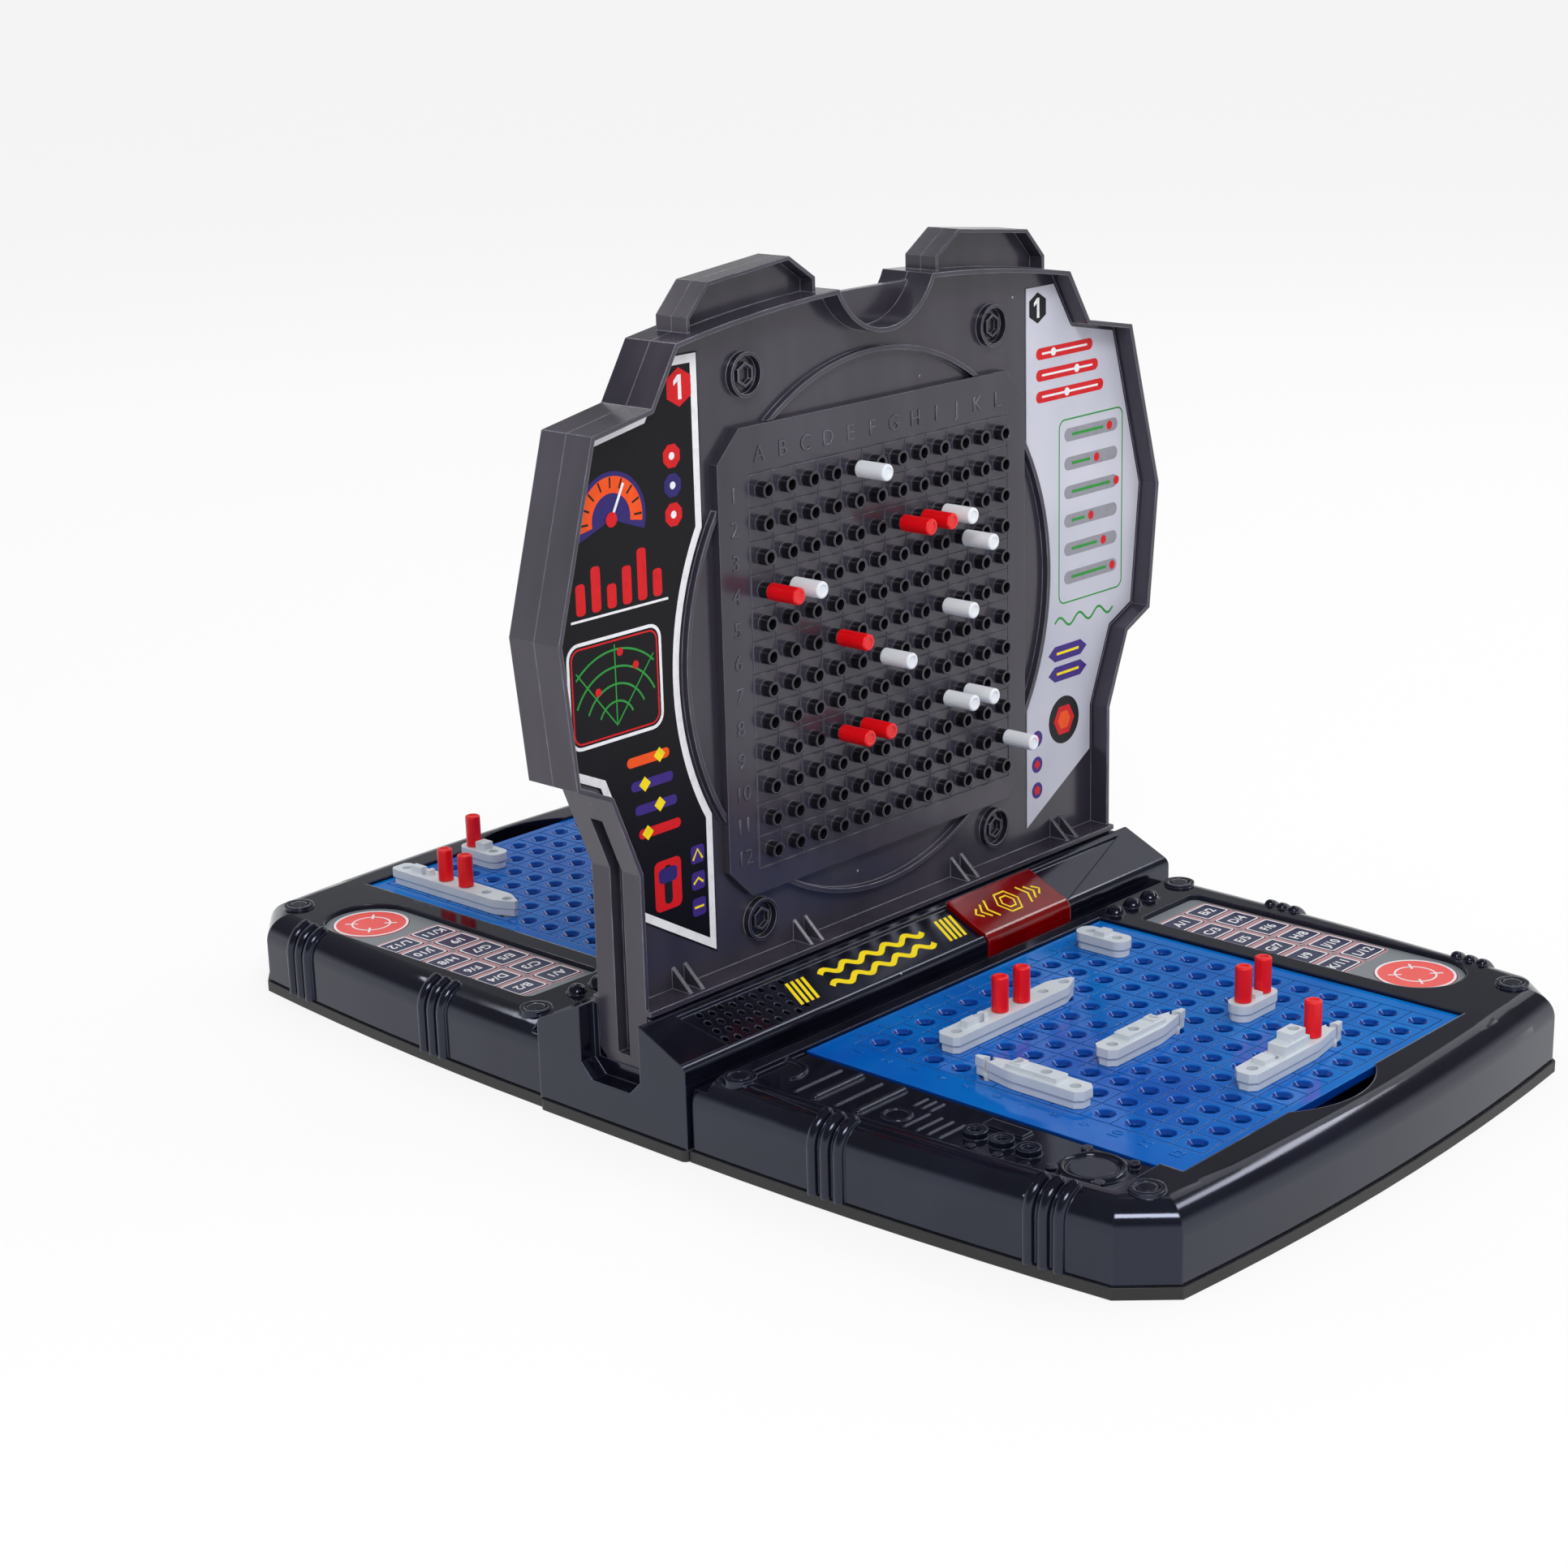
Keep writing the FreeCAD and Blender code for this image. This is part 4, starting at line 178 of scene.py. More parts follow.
SKIN = moulded_skin()
WORN_AND_HIGHLIT_EDGES = worn_and_highlit_edges()
DUST = dust_specks()
INK = ink_screen()


# Finishes
def finish(name, constants):
    """New material with a Principled shader, its fixed values set on the shader."""
    material = bpy.data.materials.new(name)
    material.use_nodes = True
    tree = material.node_tree
    shader = tree.nodes["Principled BSDF"]
    for label, value in constants.items():
        shader.inputs[label].default_value = value
    return material, tree, shader


def shade(red, green, blue):
    """Linear colour from an ordinary 0 to 255 one."""
    def linear(value):
        share = value / 255
        return share / 12.92 if share <= 0.04045 else ((share + 0.055) / 1.055) ** 2.4
    return linear(red), linear(green), linear(blue), 1.0


def mixed(tree, share, first, second):
    return place(tree, "Mix", {0: share, 6: first, 7: second}, data_type="RGBA").outputs[2]


# Places of the screen's ring bosses, their radius and the width of the blend round them, in metres
BOSS_ASIDE, BOSS_HEIGHTS = 0.0565, (0.0513, 0.217)
BOSS_RADIUS, BOSS_BLEND = 0.0066, 0.0003


def painted_boss_shade(tree, colour):
    """Painted shade on the ring bosses: a dark disc over each boss and the deep nut recess in it."""
    spot = place(tree, "SeparateXYZ", {0: place(tree, "TexCoord").outputs["Object"]})
    aside = place(tree, "Math", {0: spot.outputs["X"]}, operation="ABSOLUTE")
    flat = place(tree, "CombineXYZ", {0: aside.outputs[0], 2: spot.outputs["Z"]})
    for height in BOSS_HEIGHTS:
        away = place(tree, "VectorMath", {0: flat.outputs[0], 1: (BOSS_ASIDE, 0, height)},
                     operation="DISTANCE")
        ring = place(tree, "MapRange", {"Value": away.outputs["Value"], "From Min": BOSS_RADIUS + BOSS_BLEND,
                                        "From Max": BOSS_RADIUS})
        # Painted shade: a dark disc over the boss and its nut recess.
        colour = mixed(tree, ring.outputs[0], colour, shade(34, 32, 42))
    return colour


def wire(tree, shader, colour, roughness, bump=None):
    """Links a surface's colour, roughness and fine relief to the shader."""
    tree.links.new(colour, shader.inputs["Base Color"])
    tree.links.new(roughness, shader.inputs["Roughness"])
    if bump:
        tree.links.new(bump.outputs[0], shader.inputs["Normal"])


DUST_GREY = shade(170, 172, 180)


def moulded(name, pale, deep, gloss, rub_and_highlight, mottle=60.0, streak=0.3, spread=0.12, grain=2500.0, depth=0.04,
            relief=0.0002, width=0.0004, dust=0.0, layer=None, **constants):
    """Moulded plastic: mottled colour, a layer over it, edges lightened partly by wear and partly by a
    painted highlight, dust and grain.
    """
    fixed = {label.replace("_", " "): value for label, value in constants.items()}
    material, tree, shader = finish(name, fixed)
    skin = use(tree, SKIN, Pale=pale, Deep=deep, Mottle=mottle, Streak=streak, Gloss=gloss,
               Gloss_Spread=spread, Grain=grain)
    edge = use(tree, WORN_AND_HIGHLIT_EDGES, Width=width)
    colour = layer(tree, skin["Colour"]) if layer else skin["Colour"]
    # Lighter edges: partly rubbed wear, partly a painted highlight along each edge.
    colour = mixed(tree, edge["Edge"], colour, rub_and_highlight)
    if dust:
        specks = use(tree, DUST, Share=dust)
        colour = mixed(tree, specks["Specks"], colour, DUST_GREY)
    bump = place(tree, "Bump", {"Strength": depth, "Distance": relief, "Height": skin["Height"],
                                "Normal": edge["Normal"]})
    wire(tree, shader, colour, skin["Roughness"], bump)
    return material


def ink(name, colour):
    """Printed ink, a little darker where it lies thin."""
    material, tree, shader = finish(name, {"Specular IOR Level": 0.2})
    thinner = tuple(channel * 0.82 for channel in colour[:3]) + (1.0,)
    look = use(tree, INK, Ink=colour, Thin=thinner)
    bump = place(tree, "Bump", {"Strength": 0.05, "Distance": 0.0001, "Height": look["Height"]})
    wire(tree, shader, look["Colour"], look["Roughness"], bump)
    return material


# Heights in metres between which the sea plate turns from its top to its grooves and holes
SEA_TOP, SEA_SUNK = 0.02478, 0.0244
# Distances in metres from the screen's middle between which a stud stands out of its plate
STUD_FOOT, STUD_TIP = 0.0061, 0.0072


def painted_sea_groove_shade(tree, colour):
    """Painted shade: deeper blue in the grooves and holes of the sea plate."""
    spot = place(tree, "SeparateXYZ", {0: place(tree, "TexCoord").outputs["Object"]})
    sunk = place(tree, "MapRange", {"Value": spot.outputs["Z"], "From Min": SEA_TOP, "From Max": SEA_SUNK})
    # Painted shade below the plate's top, in its grooves and holes.
    return mixed(tree, sunk.outputs[0], colour, shade(0, 74, 178))


def dark_studs(tree, colour):
    """Darker colour on the studs, from where they leave their plate to their tips."""
    spot = place(tree, "SeparateXYZ", {0: place(tree, "TexCoord").outputs["Object"]})
    away = place(tree, "Math", {0: spot.outputs["Y"]}, operation="ABSOLUTE")
    stud = place(tree, "MapRange", {"Value": away.outputs[0], "From Min": STUD_FOOT, "From Max": STUD_TIP})
    return mixed(tree, stud.outputs[0], colour, shade(22, 21, 28))


def sticker_paper():
    """Glossy sticker sheets: black on each player's left, silver on the right."""
    material, tree, shader = finish("sticker_sheet", {"Specular IOR Level": 0.16})
    spot = place(tree, "SeparateXYZ", {0: place(tree, "TexCoord").outputs["Object"]})
    corner = place(tree, "Math", {0: spot.outputs["X"], 1: spot.outputs["Y"]}, operation="MULTIPLY")
    left = place(tree, "Math", {0: corner.outputs[0], 1: 0.0}, operation="GREATER_THAN")
    black = use(tree, SKIN, Pale=shade(16, 15, 22), Deep=shade(8, 8, 13), Mottle=35.0, Streak=0.2, Gloss=0.3,
                Gloss_Spread=0.08, Grain=1800.0)
    silver = use(tree, SKIN, Pale=shade(216, 216, 228), Deep=shade(188, 189, 204), Mottle=16.0, Streak=0.2,
                 Gloss=0.36, Gloss_Spread=0.08, Grain=1800.0)
    colour = mixed(tree, left.outputs[0], silver["Colour"], black["Colour"])
    bump = place(tree, "Bump", {"Strength": 0.03, "Distance": 0.0002, "Height": silver["Height"]})
    wire(tree, shader, colour, black["Roughness"], bump)
    return material


def battery_jacket():
    """Plain dark battery sleeves with a metal sheen."""
    material, tree, shader = finish("battery_sleeve", {"Metallic": 0.5})
    look = use(tree, INK, Ink=shade(32, 33, 38), Thin=shade(24, 25, 30))
    wire(tree, shader, look["Colour"], look["Roughness"])
    return material


def sprung_steel():
    """Nickel-plated steel with fine drawing lines."""
    material, tree, shader = finish("contact_steel", {"Metallic": 1.0})
    skin = use(tree, SKIN, Pale=shade(205, 206, 204), Deep=shade(170, 170, 168), Mottle=300.0, Streak=0.7,
               Gloss=0.28, Gloss_Spread=0.2, Grain=4000.0)
    bump = place(tree, "Bump", {"Strength": 0.08, "Distance": 0.0001, "Height": skin["Height"]})
    wire(tree, shader, skin["Colour"], skin["Roughness"], bump)
    return material


def circuit_board():
    """Green board with copper tracks."""
    material, tree, shader = finish("circuit_board", {"Coat Weight": 0.3})
    spot = place(tree, "TexCoord").outputs["Object"]
    cells = place(tree, "TexBrick", {"Vector": spot, "Scale": 160.0, "Mortar Size": 0.03,
                                     "Color1": shade(22, 84, 48), "Color2": shade(16, 70, 40),
                                     "Mortar": shade(140, 112, 60)})
    rough = place(tree, "TexNoise", {"Vector": spot, "Scale": 300.0})
    patchy_level = place(tree, "MapRange", {"Value": rough.outputs[0], "To Min": 0.25, "To Max": 0.5})
    wire(tree, shader, cells.outputs[0], patchy_level.outputs[0])
    return material


# Each plastic's fifth colour lightens its edges: partly rubbed wear, partly a painted highlight; on the clear
# sea plate it is painted light coming through the edge.
CASE_BLACK = moulded("case_black_plastic", shade(18, 20, 33), shade(10, 11, 20), 0.1, shade(62, 66, 84),
                     mottle=45.0, streak=0.15, spread=0.08, depth=0.03, width=0.0007, dust=0.16,
                     Specular_IOR_Level=0.62, Specular_Tint=(0.72, 0.77, 1.0, 1.0))
BASE_BLACK = moulded("base_black_plastic", shade(32, 32, 35), shade(22, 22, 25), 0.5, shade(66, 66, 70),
                     grain=1400.0, depth=0.3)
SCREEN_SMOKE = moulded("screen_smoke_plastic", shade(66, 62, 74), shade(45, 42, 53), 0.2,
                       shade(152, 152, 170), mottle=30.0, streak=0.7, spread=0.16, depth=0.05, width=0.0005,
                       dust=0.16, layer=painted_boss_shade)
STUD_PLATE = moulded("stud_plate_plastic", shade(64, 60, 72), shade(46, 43, 54), 0.2, shade(120, 122, 138),
                     mottle=30.0, streak=0.7, spread=0.14, depth=0.05, layer=dark_studs)
SEA_BLUE = moulded("sea_blue_plastic", shade(0, 150, 255), shade(0, 100, 222), 0.1, shade(70, 160, 245),
                   mottle=17.0, streak=0.2, spread=0.08, grain=900.0, depth=0.05, relief=0.0003, width=0.0003,
                   layer=painted_sea_groove_shade, Transmission_Weight=0.4, IOR=1.49, Specular_IOR_Level=0.4)
WINDOW_RED = moulded("lamp_window_red", shade(158, 0, 6), shade(110, 0, 3), 0.08, shade(240, 50, 50),
                     mottle=70.0, streak=0.5, spread=0.05, depth=0.02, width=0.0007, Transmission_Weight=0.35,
                     IOR=1.49, Specular_IOR_Level=0.4)
SHIP_GREY = moulded("ship_grey_plastic", shade(214, 221, 228), shade(200, 208, 217), 0.42,
                    shade(232, 236, 240), depth=0.05, width=0.0002, Subsurface_Weight=0.08,
                    Subsurface_Scale=0.002)
PEG_RED = moulded("peg_red_plastic", shade(240, 10, 22), shade(226, 0, 14), 0.34, shade(255, 70, 70),
                  width=0.0003, Subsurface_Weight=0.15, Subsurface_Scale=0.002)
PEG_WHITE = moulded("peg_white_plastic", shade(240, 243, 248), shade(228, 233, 241), 0.36,
                    shade(250, 250, 252), width=0.0003, Subsurface_Weight=0.15, Subsurface_Scale=0.002)
FILM_GREY = moulded("keypad_film_grey", shade(132, 138, 144), shade(122, 128, 135), 0.34,
                    shade(150, 156, 162), mottle=50.0, depth=0.08, width=0.0002)
KEY_NAVY = moulded("key_navy_print", shade(52, 56, 92), shade(44, 48, 82), 0.36, shade(92, 96, 130),
                   depth=0.08, width=0.0002)
FIRE_RED = moulded("fire_disc_print", shade(248, 98, 92), shade(240, 84, 80), 0.36, shade(250, 140, 134),
                   depth=0.08, width=0.0003)
STICKER = sticker_paper()
SLEEVE = battery_jacket()
STEEL = sprung_steel()
BOARD = circuit_board()
CONE_DARK = moulded("speaker_cone_dark", shade(40, 38, 36), shade(26, 25, 24), 0.6, shade(90, 90, 90),
                    grain=900.0, depth=0.4)

INKS = {
    "white": ink("white_ink", shade(240, 240, 244)),
    "rose": ink("rose_ink", shade(196, 150, 156)),
    "yellow": ink("yellow_ink", shade(250, 222, 20)),
    "red": ink("red_ink", shade(214, 22, 30)),
    "orange": ink("orange_ink", shade(244, 84, 24)),
    "navy": ink("navy_ink", shade(46, 36, 110)),
    "purple": ink("purple_ink", shade(62, 40, 128)),
    "green": ink("green_ink", shade(46, 150, 62)),
    "grey": ink("grey_ink", shade(150, 150, 160)),
    "black": ink("black_ink", shade(20, 20, 26)),
}

NODE_FINISH = {
    "console_cover": CASE_BLACK, "console_base": BASE_BLACK, "battery_door": BASE_BLACK,
    "batteries": SLEEVE, "metal_fittings": STEEL, "power_switch": BASE_BLACK, "circuit_boards": BOARD,
    "speaker": CONE_DARK, "hit_windows": WINDOW_RED, "near_tray_shell": CASE_BLACK,
    "far_tray_shell": CASE_BLACK, "tray_bases": BASE_BLACK, "keypad_films": FILM_GREY,
    "near_sea_plate": SEA_BLUE, "far_sea_plate": SEA_BLUE, "screen_near_half": SCREEN_SMOKE,
    "screen_far_half": SCREEN_SMOKE, "peg_panels": STUD_PLATE, "screen_stickers": STICKER,
    "screen_white_pegs": PEG_WHITE, "screen_red_pegs": PEG_RED,
}


def node_finish(name):
    if name in NODE_FINISH:
        return NODE_FINISH[name]
    if "_key_" in name:
        return KEY_NAVY
    if name.endswith("fire_button"):
        return FIRE_RED
    if "peg" in name:
        return PEG_RED
    return SHIP_GREY


for name, piece in nodes.items():
    piece.data.materials.clear()
    piece.data.materials.append(node_finish(name))


# Flat marks, in millimetres on their own plane
def polygon(u, v, radius, sides, turn=0.0):
    """Regular polygon about its middle, its first corner at an angle in radians."""
    angles = [turn + 2 * math.pi * side / sides for side in range(sides)]
    return [(u + radius * math.cos(angle), v + radius * math.sin(angle)) for angle in angles]


def disc(u, v, radius, steps=40):
    return polygon(u, v, radius, steps)


def block(u, v, width, height, corner, steps=5):
    """Rectangle about its middle, with rounded corners."""
    made = []
    for start, side, end in ((180, -1, -1), (270, 1, -1), (0, 1, 1), (90, -1, 1)):
        for step in range(steps + 1):
            angle = math.radians(start + 90 * step / steps)
            made.append((u + side * (width / 2 - corner) + corner * math.cos(angle),
                         v + end * (height / 2 - corner) + corner * math.sin(angle)))
    return made


def fan(u, v, inner, outer, start, end, steps=28):
    """Band of an arc between two radii, angles in degrees."""
    angles = [math.radians(start + (end - start) * step / steps) for step in range(steps + 1)]
    made = [(u + outer * math.cos(angle), v + outer * math.sin(angle)) for angle in angles]
    return made + [(u + inner * math.cos(angle), v + inner * math.sin(angle)) for angle in reversed(angles)]


def spoke(u, v, inner, outer, angle):
    """Two points of a line out from a middle, at an angle in degrees."""
    turn = math.radians(angle)
    return [(u + reach * math.cos(turn), v + reach * math.sin(turn)) for reach in (inner, outer)]


def stroke(points, width):
    """Open line of a given width through points."""
    left, right = [], []
    for index, point in enumerate(points):
        before = Vector(points[max(index - 1, 0)])
        after = Vector(points[min(index + 1, len(points) - 1)])
        along = (after - before).normalized()
        left.append((point[0] - along.y * width / 2, point[1] + along.x * width / 2))
        right.append((point[0] + along.y * width / 2, point[1] - along.x * width / 2))
    return right + left[::-1]


def wave(start, end, v, rise, swings, steps=48):
    """Points along a sine line."""
    return [(start + (end - start) * step / steps, v + rise * math.sin(2 * math.pi * swings * step / steps))
            for step in range(steps + 1)]


def inset(loop, distance):
    """Closed anticlockwise loop moved inwards by a distance."""
    made = []
    for before, here, after in zip(loop[-1:] + loop[:-1], loop, loop[1:] + loop[:1]):
        first = (Vector(here) - Vector(before)).normalized()
        second = (Vector(after) - Vector(here)).normalized()
        mitre = Vector((-first.y - second.y, first.x + second.x)) / (1 + first.dot(second))
        made.append((here[0] + mitre.x * distance, here[1] + mitre.y * distance))
    return made


def thin_sheet(shape, spot, loops, low, high, index):
    """Closed sheet between two heights: one loop, or a band between two loops of equal count."""
    rings = [[[shape.verts.new(spot @ Vector((u * MM, v * MM, level * MM))) for u, v in loop]
              for loop in loops] for level in (low, high)]
    faces = []
    count = len(loops[0])
    for number in range(len(loops)):
        for step in range(count):
            after = (step + 1) % count
            faces.append((rings[0][number][step], rings[0][number][after], rings[1][number][after],
                          rings[1][number][step]))
    for level in (0, 1):
        if len(loops) == 1:
            faces.append(rings[level][0])
        else:
            for step in range(count):
                after = (step + 1) % count
                faces.append((rings[level][0][step], rings[level][0][after], rings[level][1][after],
                              rings[level][1][step]))
    for face in faces:
        shape.faces.new(face).material_index = index


def lettering(shape, spot, text, u, v, height, low, high, index, weight=0.0):
    """Characters of a given height about a point."""
    curve = bpy.data.curves.new("lettering", "FONT")
    curve.body = text
    curve.align_x = "CENTER"
    curve.size = height * MM / 0.72
    curve.offset = weight * MM
    curve.extrude = (high - low) * MM / 2
    curve.resolution_u = 4
    writing = bpy.data.objects.new("lettering", curve)
    bpy.context.scene.collection.objects.link(writing)
    mesh = bpy.data.meshes.new_from_object(writing.evaluated_get(bpy.context.evaluated_depsgraph_get()))
    first = len(shape.faces)
    start = len(shape.verts)
    mesh.transform(spot @ Matrix.Translation((u * MM, (v - height / 2) * MM, (low + high) / 2 * MM)))
    shape.from_mesh(mesh)
    shape.faces.ensure_lookup_table()
    shape.verts.ensure_lookup_table()
    for face in shape.faces[first:]:
        face.material_index = index
    bmesh.ops.remove_doubles(shape, verts=shape.verts[start:], dist=1e-6)
    bpy.data.objects.remove(writing)
    bpy.data.curves.remove(curve)
    bpy.data.meshes.remove(mesh)


LAYER = 0.04


def printed(name, body, spot, marks, layer=LAYER, finishes=None):
    """One piece of thin marks on a plane. A mark is its ink, its layer and its loops or its text."""
    shape = bmesh.new()
    colours = []
    for colour, level, content in marks:
        if colour not in colours:
            colours.append(colour)
        index = colours.index(colour)
        low, high = level * layer, (level + 1) * layer
        if isinstance(content, dict):
            lettering(shape, spot, low=low, high=high, index=index, **content)
        else:
            thin_sheet(shape, spot, content, low, high, index)
    bmesh.ops.recalc_face_normals(shape, faces=shape.faces)
    mesh = bpy.data.meshes.new(name)
    shape.to_mesh(mesh)
    shape.free()
    for colour in colours:
        mesh.materials.append((finishes or INKS)[colour])
    piece = bpy.data.objects.new(name, mesh)
    bpy.context.scene.collection.objects.link(piece)
    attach(piece, body)


def word(text, u, v, height, weight=0.0):
    return {"text": text, "u": u, "v": v, "height": height, "weight": weight}


def for_player(spot, side):
    """The near player's plane, or the far player's, half a turn round."""
    return spot if side == "near" else HALF_TURN @ spot


def flat_on(z, side):
    """Plane facing up at a height in metres."""
    return for_player(Matrix.Translation((0, 0, z)), side)


def upright_on(y, side):
    """Plane facing the player, with X and Z as its directions."""
    spot = Matrix.Translation((0, y, 0)) @ Matrix.Rotation(math.pi / 2, 4, "X")
    return for_player(spot, side)


# Keypads
KEY_WIDTH, KEY_LENGTH = 12.0, 9.6
KEY_NUMBERS = range(1, len(LETTERS) + 1)


def top_middle(node):
    """Plane facing up on the middle of a node's top."""
    low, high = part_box(node)
    middle = (low + high) / 2
    return Matrix.Translation((middle.x, middle.y, high.z))


def key_print(node, text, side):
    """Frame and coordinate of a key, upright for its own player."""
    spot = top_middle(node)
    if side == "far":
        spot = spot @ HALF_TURN
    marks = [("white", 0, [block(0, 0, KEY_WIDTH - 0.1, KEY_LENGTH - 0.1, 1.0),
                           block(0, 0, KEY_WIDTH - 1.2, KEY_LENGTH - 1.2, 0.5)]),
             ("white", 0, word(text, 0, 0, 3.5, 0.08))]
    printed(node + "_print", node, spot, marks)


def fire_print(node):
    """Two rings and four short aiming lines on a fire button."""
    marks = [("white", 0, [disc(0, 0, 12.4, 64), disc(0, 0, 11.6, 64)]),
             ("white", 0, [disc(0, 0, 6.6, 48), disc(0, 0, 6.0, 48)])]
    for angle in (45, 135, 225, 315):
        marks.append(("white", 1, [stroke(spoke(0, 0, 4.4, 8.6, angle), 0.7)]))
    printed(node + "_print", node, top_middle(node), marks)


def key_name(side, number):
    return "%s_key_%s%d" % (side, LETTERS[number - 1].lower(), number)


def film_print(side):
    """Rose frames round the keys on the film."""
    _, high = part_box("keypad_films")
    marks = []
    for number in KEY_NUMBERS:
        low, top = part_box(key_name("near", number))
        u, v = (low.x + top.x) / 2 / MM, (low.y + top.y) / 2 / MM
        marks.append(("rose", 0, [block(u, v, KEY_WIDTH + 2.1, KEY_LENGTH + 2.1, 1.6),
                                  block(u, v, KEY_WIDTH + 0.5, KEY_LENGTH + 0.5, 0.4)]))
    printed(side + "_film_print", "case", flat_on(high.z, side), marks)


for side in SIDES:
    for number in KEY_NUMBERS:
        key_print(key_name(side, number), "%s/%d" % (LETTERS[number - 1], number), side)
    fire_print(side + "_fire_button")
    film_print(side)


# Grid letters and numbers: the first stud or hole, and the spacing, in millimetres
STUD_FIRST, STUD_PITCH = (-53.25, 183.3), 10
HOLE_FIRST, HOLE_PITCH = (-59.8, -54.4), 10.25


def screen_letters(side):
    """Raised letters and numbers round the stud grid, moulded with the screen."""
    marks = []
    for column, letter in enumerate(LETTERS):
        u, v = STUD_FIRST[0] + STUD_PITCH * column, STUD_FIRST[1] - STUD_PITCH * column
        marks.append(("smoke", 0, word(letter, u, 194.0, 5.0, -0.05)))
        marks.append(("smoke", 0, word(str(column + 1), -64.4, v, 5.0, -0.05)))
    printed(side + "_screen_letters", "screen", upright_on(-0.006, side), marks, 0.3,
            {"smoke": SCREEN_SMOKE})


def plate_letters(side):
    """Raised letters and numbers in the margins of the sea plate."""
    _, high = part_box("near_sea_plate")
    marks = []
    for column, letter in enumerate(LETTERS):
        u, v = HOLE_FIRST[0] + HOLE_PITCH * column, HOLE_FIRST[1] - HOLE_PITCH * column
        marks.append(("blue", 0, word(letter, u, -47.3, 3.6)))
        marks.append(("blue", 0, word(str(column + 1), -69.2, v, 3.6)))
    printed(side + "_plate_letters", side + "_sea_plate", flat_on(high.z, side), marks, 0.2,
            {"blue": SEA_BLUE})


for side in SIDES:
    screen_letters(side)
    plate_letters(side)


# Console prints, on the sloping panel and the lamp window
SLOPE = math.atan2(8.3, 18.0)
SLOPE_Y, SLOPE_Z = -22.0, 33.15


def on_slope(x, rise, side):
    """Plane on the console's slope at a place along X, lifted by a height from the slope itself."""
    middle = Matrix.Translation((x * MM, SLOPE_Y * MM, SLOPE_Z * MM))
    tilt = Matrix.Rotation(SLOPE, 4, "X")
    return for_player(middle @ tilt @ Matrix.Translation((0, 0, rise * MM)), side)


def panel_print(side):
    """Two wave lines between slanted bars."""
    marks = []
    for v in (3.0, -2.6):
        marks.append(("yellow", 0, [stroke(wave(-26, 22, v, 1.25, 5), 1.9)]))
    for step in range(4):
        for end in (-1, 1):
            u = end * (33.5 if end < 0 else 29.5) + step * 2.6 * end * 0.9
            marks.append(("yellow", 0, [[(u - 1.6, -4.6), (u - 0.3, -4.6), (u + 1.6, 4.8), (u + 0.3, 4.8)]]))
    printed(side + "_panel_print", "case", on_slope(-20.5, -1.0, side), marks)


def window_print(side):
    """Two hexagon rings between chevrons."""
    marks = []
    for radius, width in ((5.4, 0.7), (3.2, 0.7)):
        marks.append(("yellow", 0, [polygon(0, 0, radius, 6), polygon(0, 0, radius - width, 6)]))
    for end in (-1, 1):
        for step in range(3):
            u = end * (8.2 + 3.0 * step)
            reach = 4.0 - step
            line = [(u, reach), (u + end * 2.2, 0), (u, -reach)]
            marks.append(("yellow", 0, [stroke(line, 0.8)]))
    printed(side + "_window_print", "case", on_slope(40.9, 0.6, side), marks)


for side in SIDES:
    panel_print(side)
    window_print(side)


# Sticker prints: a made-up instrument panel on each
STICKER_GAP = 2.6
STICKER_INNER, STICKER_HIGH = 75.0, 226.2
STICKER_ARC, STICKER_MIDDLE = 86.45, 132.5
RIM = [(112.0, 38.0), (112.0, 81.0), (122.0, 105.8), (134.5, 111.5), (139.0, 154.0), (123.0, 209.6),
       (100.0, 213.8), (89.5, 230.6), (70.0, 233.6)]


def sticker_edge():
    """Outline of the sticker on the right, anticlockwise."""
    loop = inset([(-112.0, 38.0)] + RIM + [(-112.0, 233.6)], STICKER_GAP)
    rim = [point for point in loop if point[0] > 80 and 66 < point[1] < STICKER_HIGH]
    neck, brow = loop[7], loop[8]
    share = (STICKER_HIGH - neck[1]) / (brow[1] - neck[1])
    corner = (neck[0] + share * (brow[0] - neck[0]), STICKER_HIGH)
    reach = math.degrees(math.acos(STICKER_INNER / STICKER_ARC))
    steps = 24
    angles = [reach * (1 - 2 * step / steps) for step in range(steps + 1)]
    arc = [spoke(0, STICKER_MIDDLE, 0, STICKER_ARC, angle)[1] for angle in angles]
    foot = [(STICKER_INNER, 46.0), (112.0 - STICKER_GAP, 66.0)]
    return foot + rim + [corner, (STICKER_INNER, STICKER_HIGH)] + arc


def mirrored(loop):
    return [(-u, v) for u, v in reversed(loop)]


def dial(u, v, radius, face, hand, ticks):
    """Half-round gauge with ticks and a hand."""
    marks = [("navy", 0, [fan(u, v, 0.3, radius, -20, 200)]),
             (face, 1, [fan(u, v, radius * 0.55, radius * 0.9, -10, 190)])]
    for tick in range(ticks):
        line = spoke(u, v, radius * 0.66, radius * 0.88, 180 * tick / (ticks - 1))
        marks.append(("black", 2, [stroke(line, 0.6)]))
    needle = spoke(u, v, 0, radius * 0.8, hand)
    return marks + [("white", 3, [stroke(needle, 0.9)]), ("red", 4, [disc(u, v, radius * 0.16)])]


def player_number(number, u, v, height):
    """A one drawn with its flag, or a two from the lettering."""
    if number != "1":
        return word(number, u, v, height, 0.1)
    flag = ((0.13, -0.5), (0.13, 0.5), (-0.06, 0.5), (-0.3, 0.28), (-0.3, 0.09), (-0.06, 0.24), (-0.06, -0.5))
    return [[(u + height * across, v + height * along) for across, along in flag]]


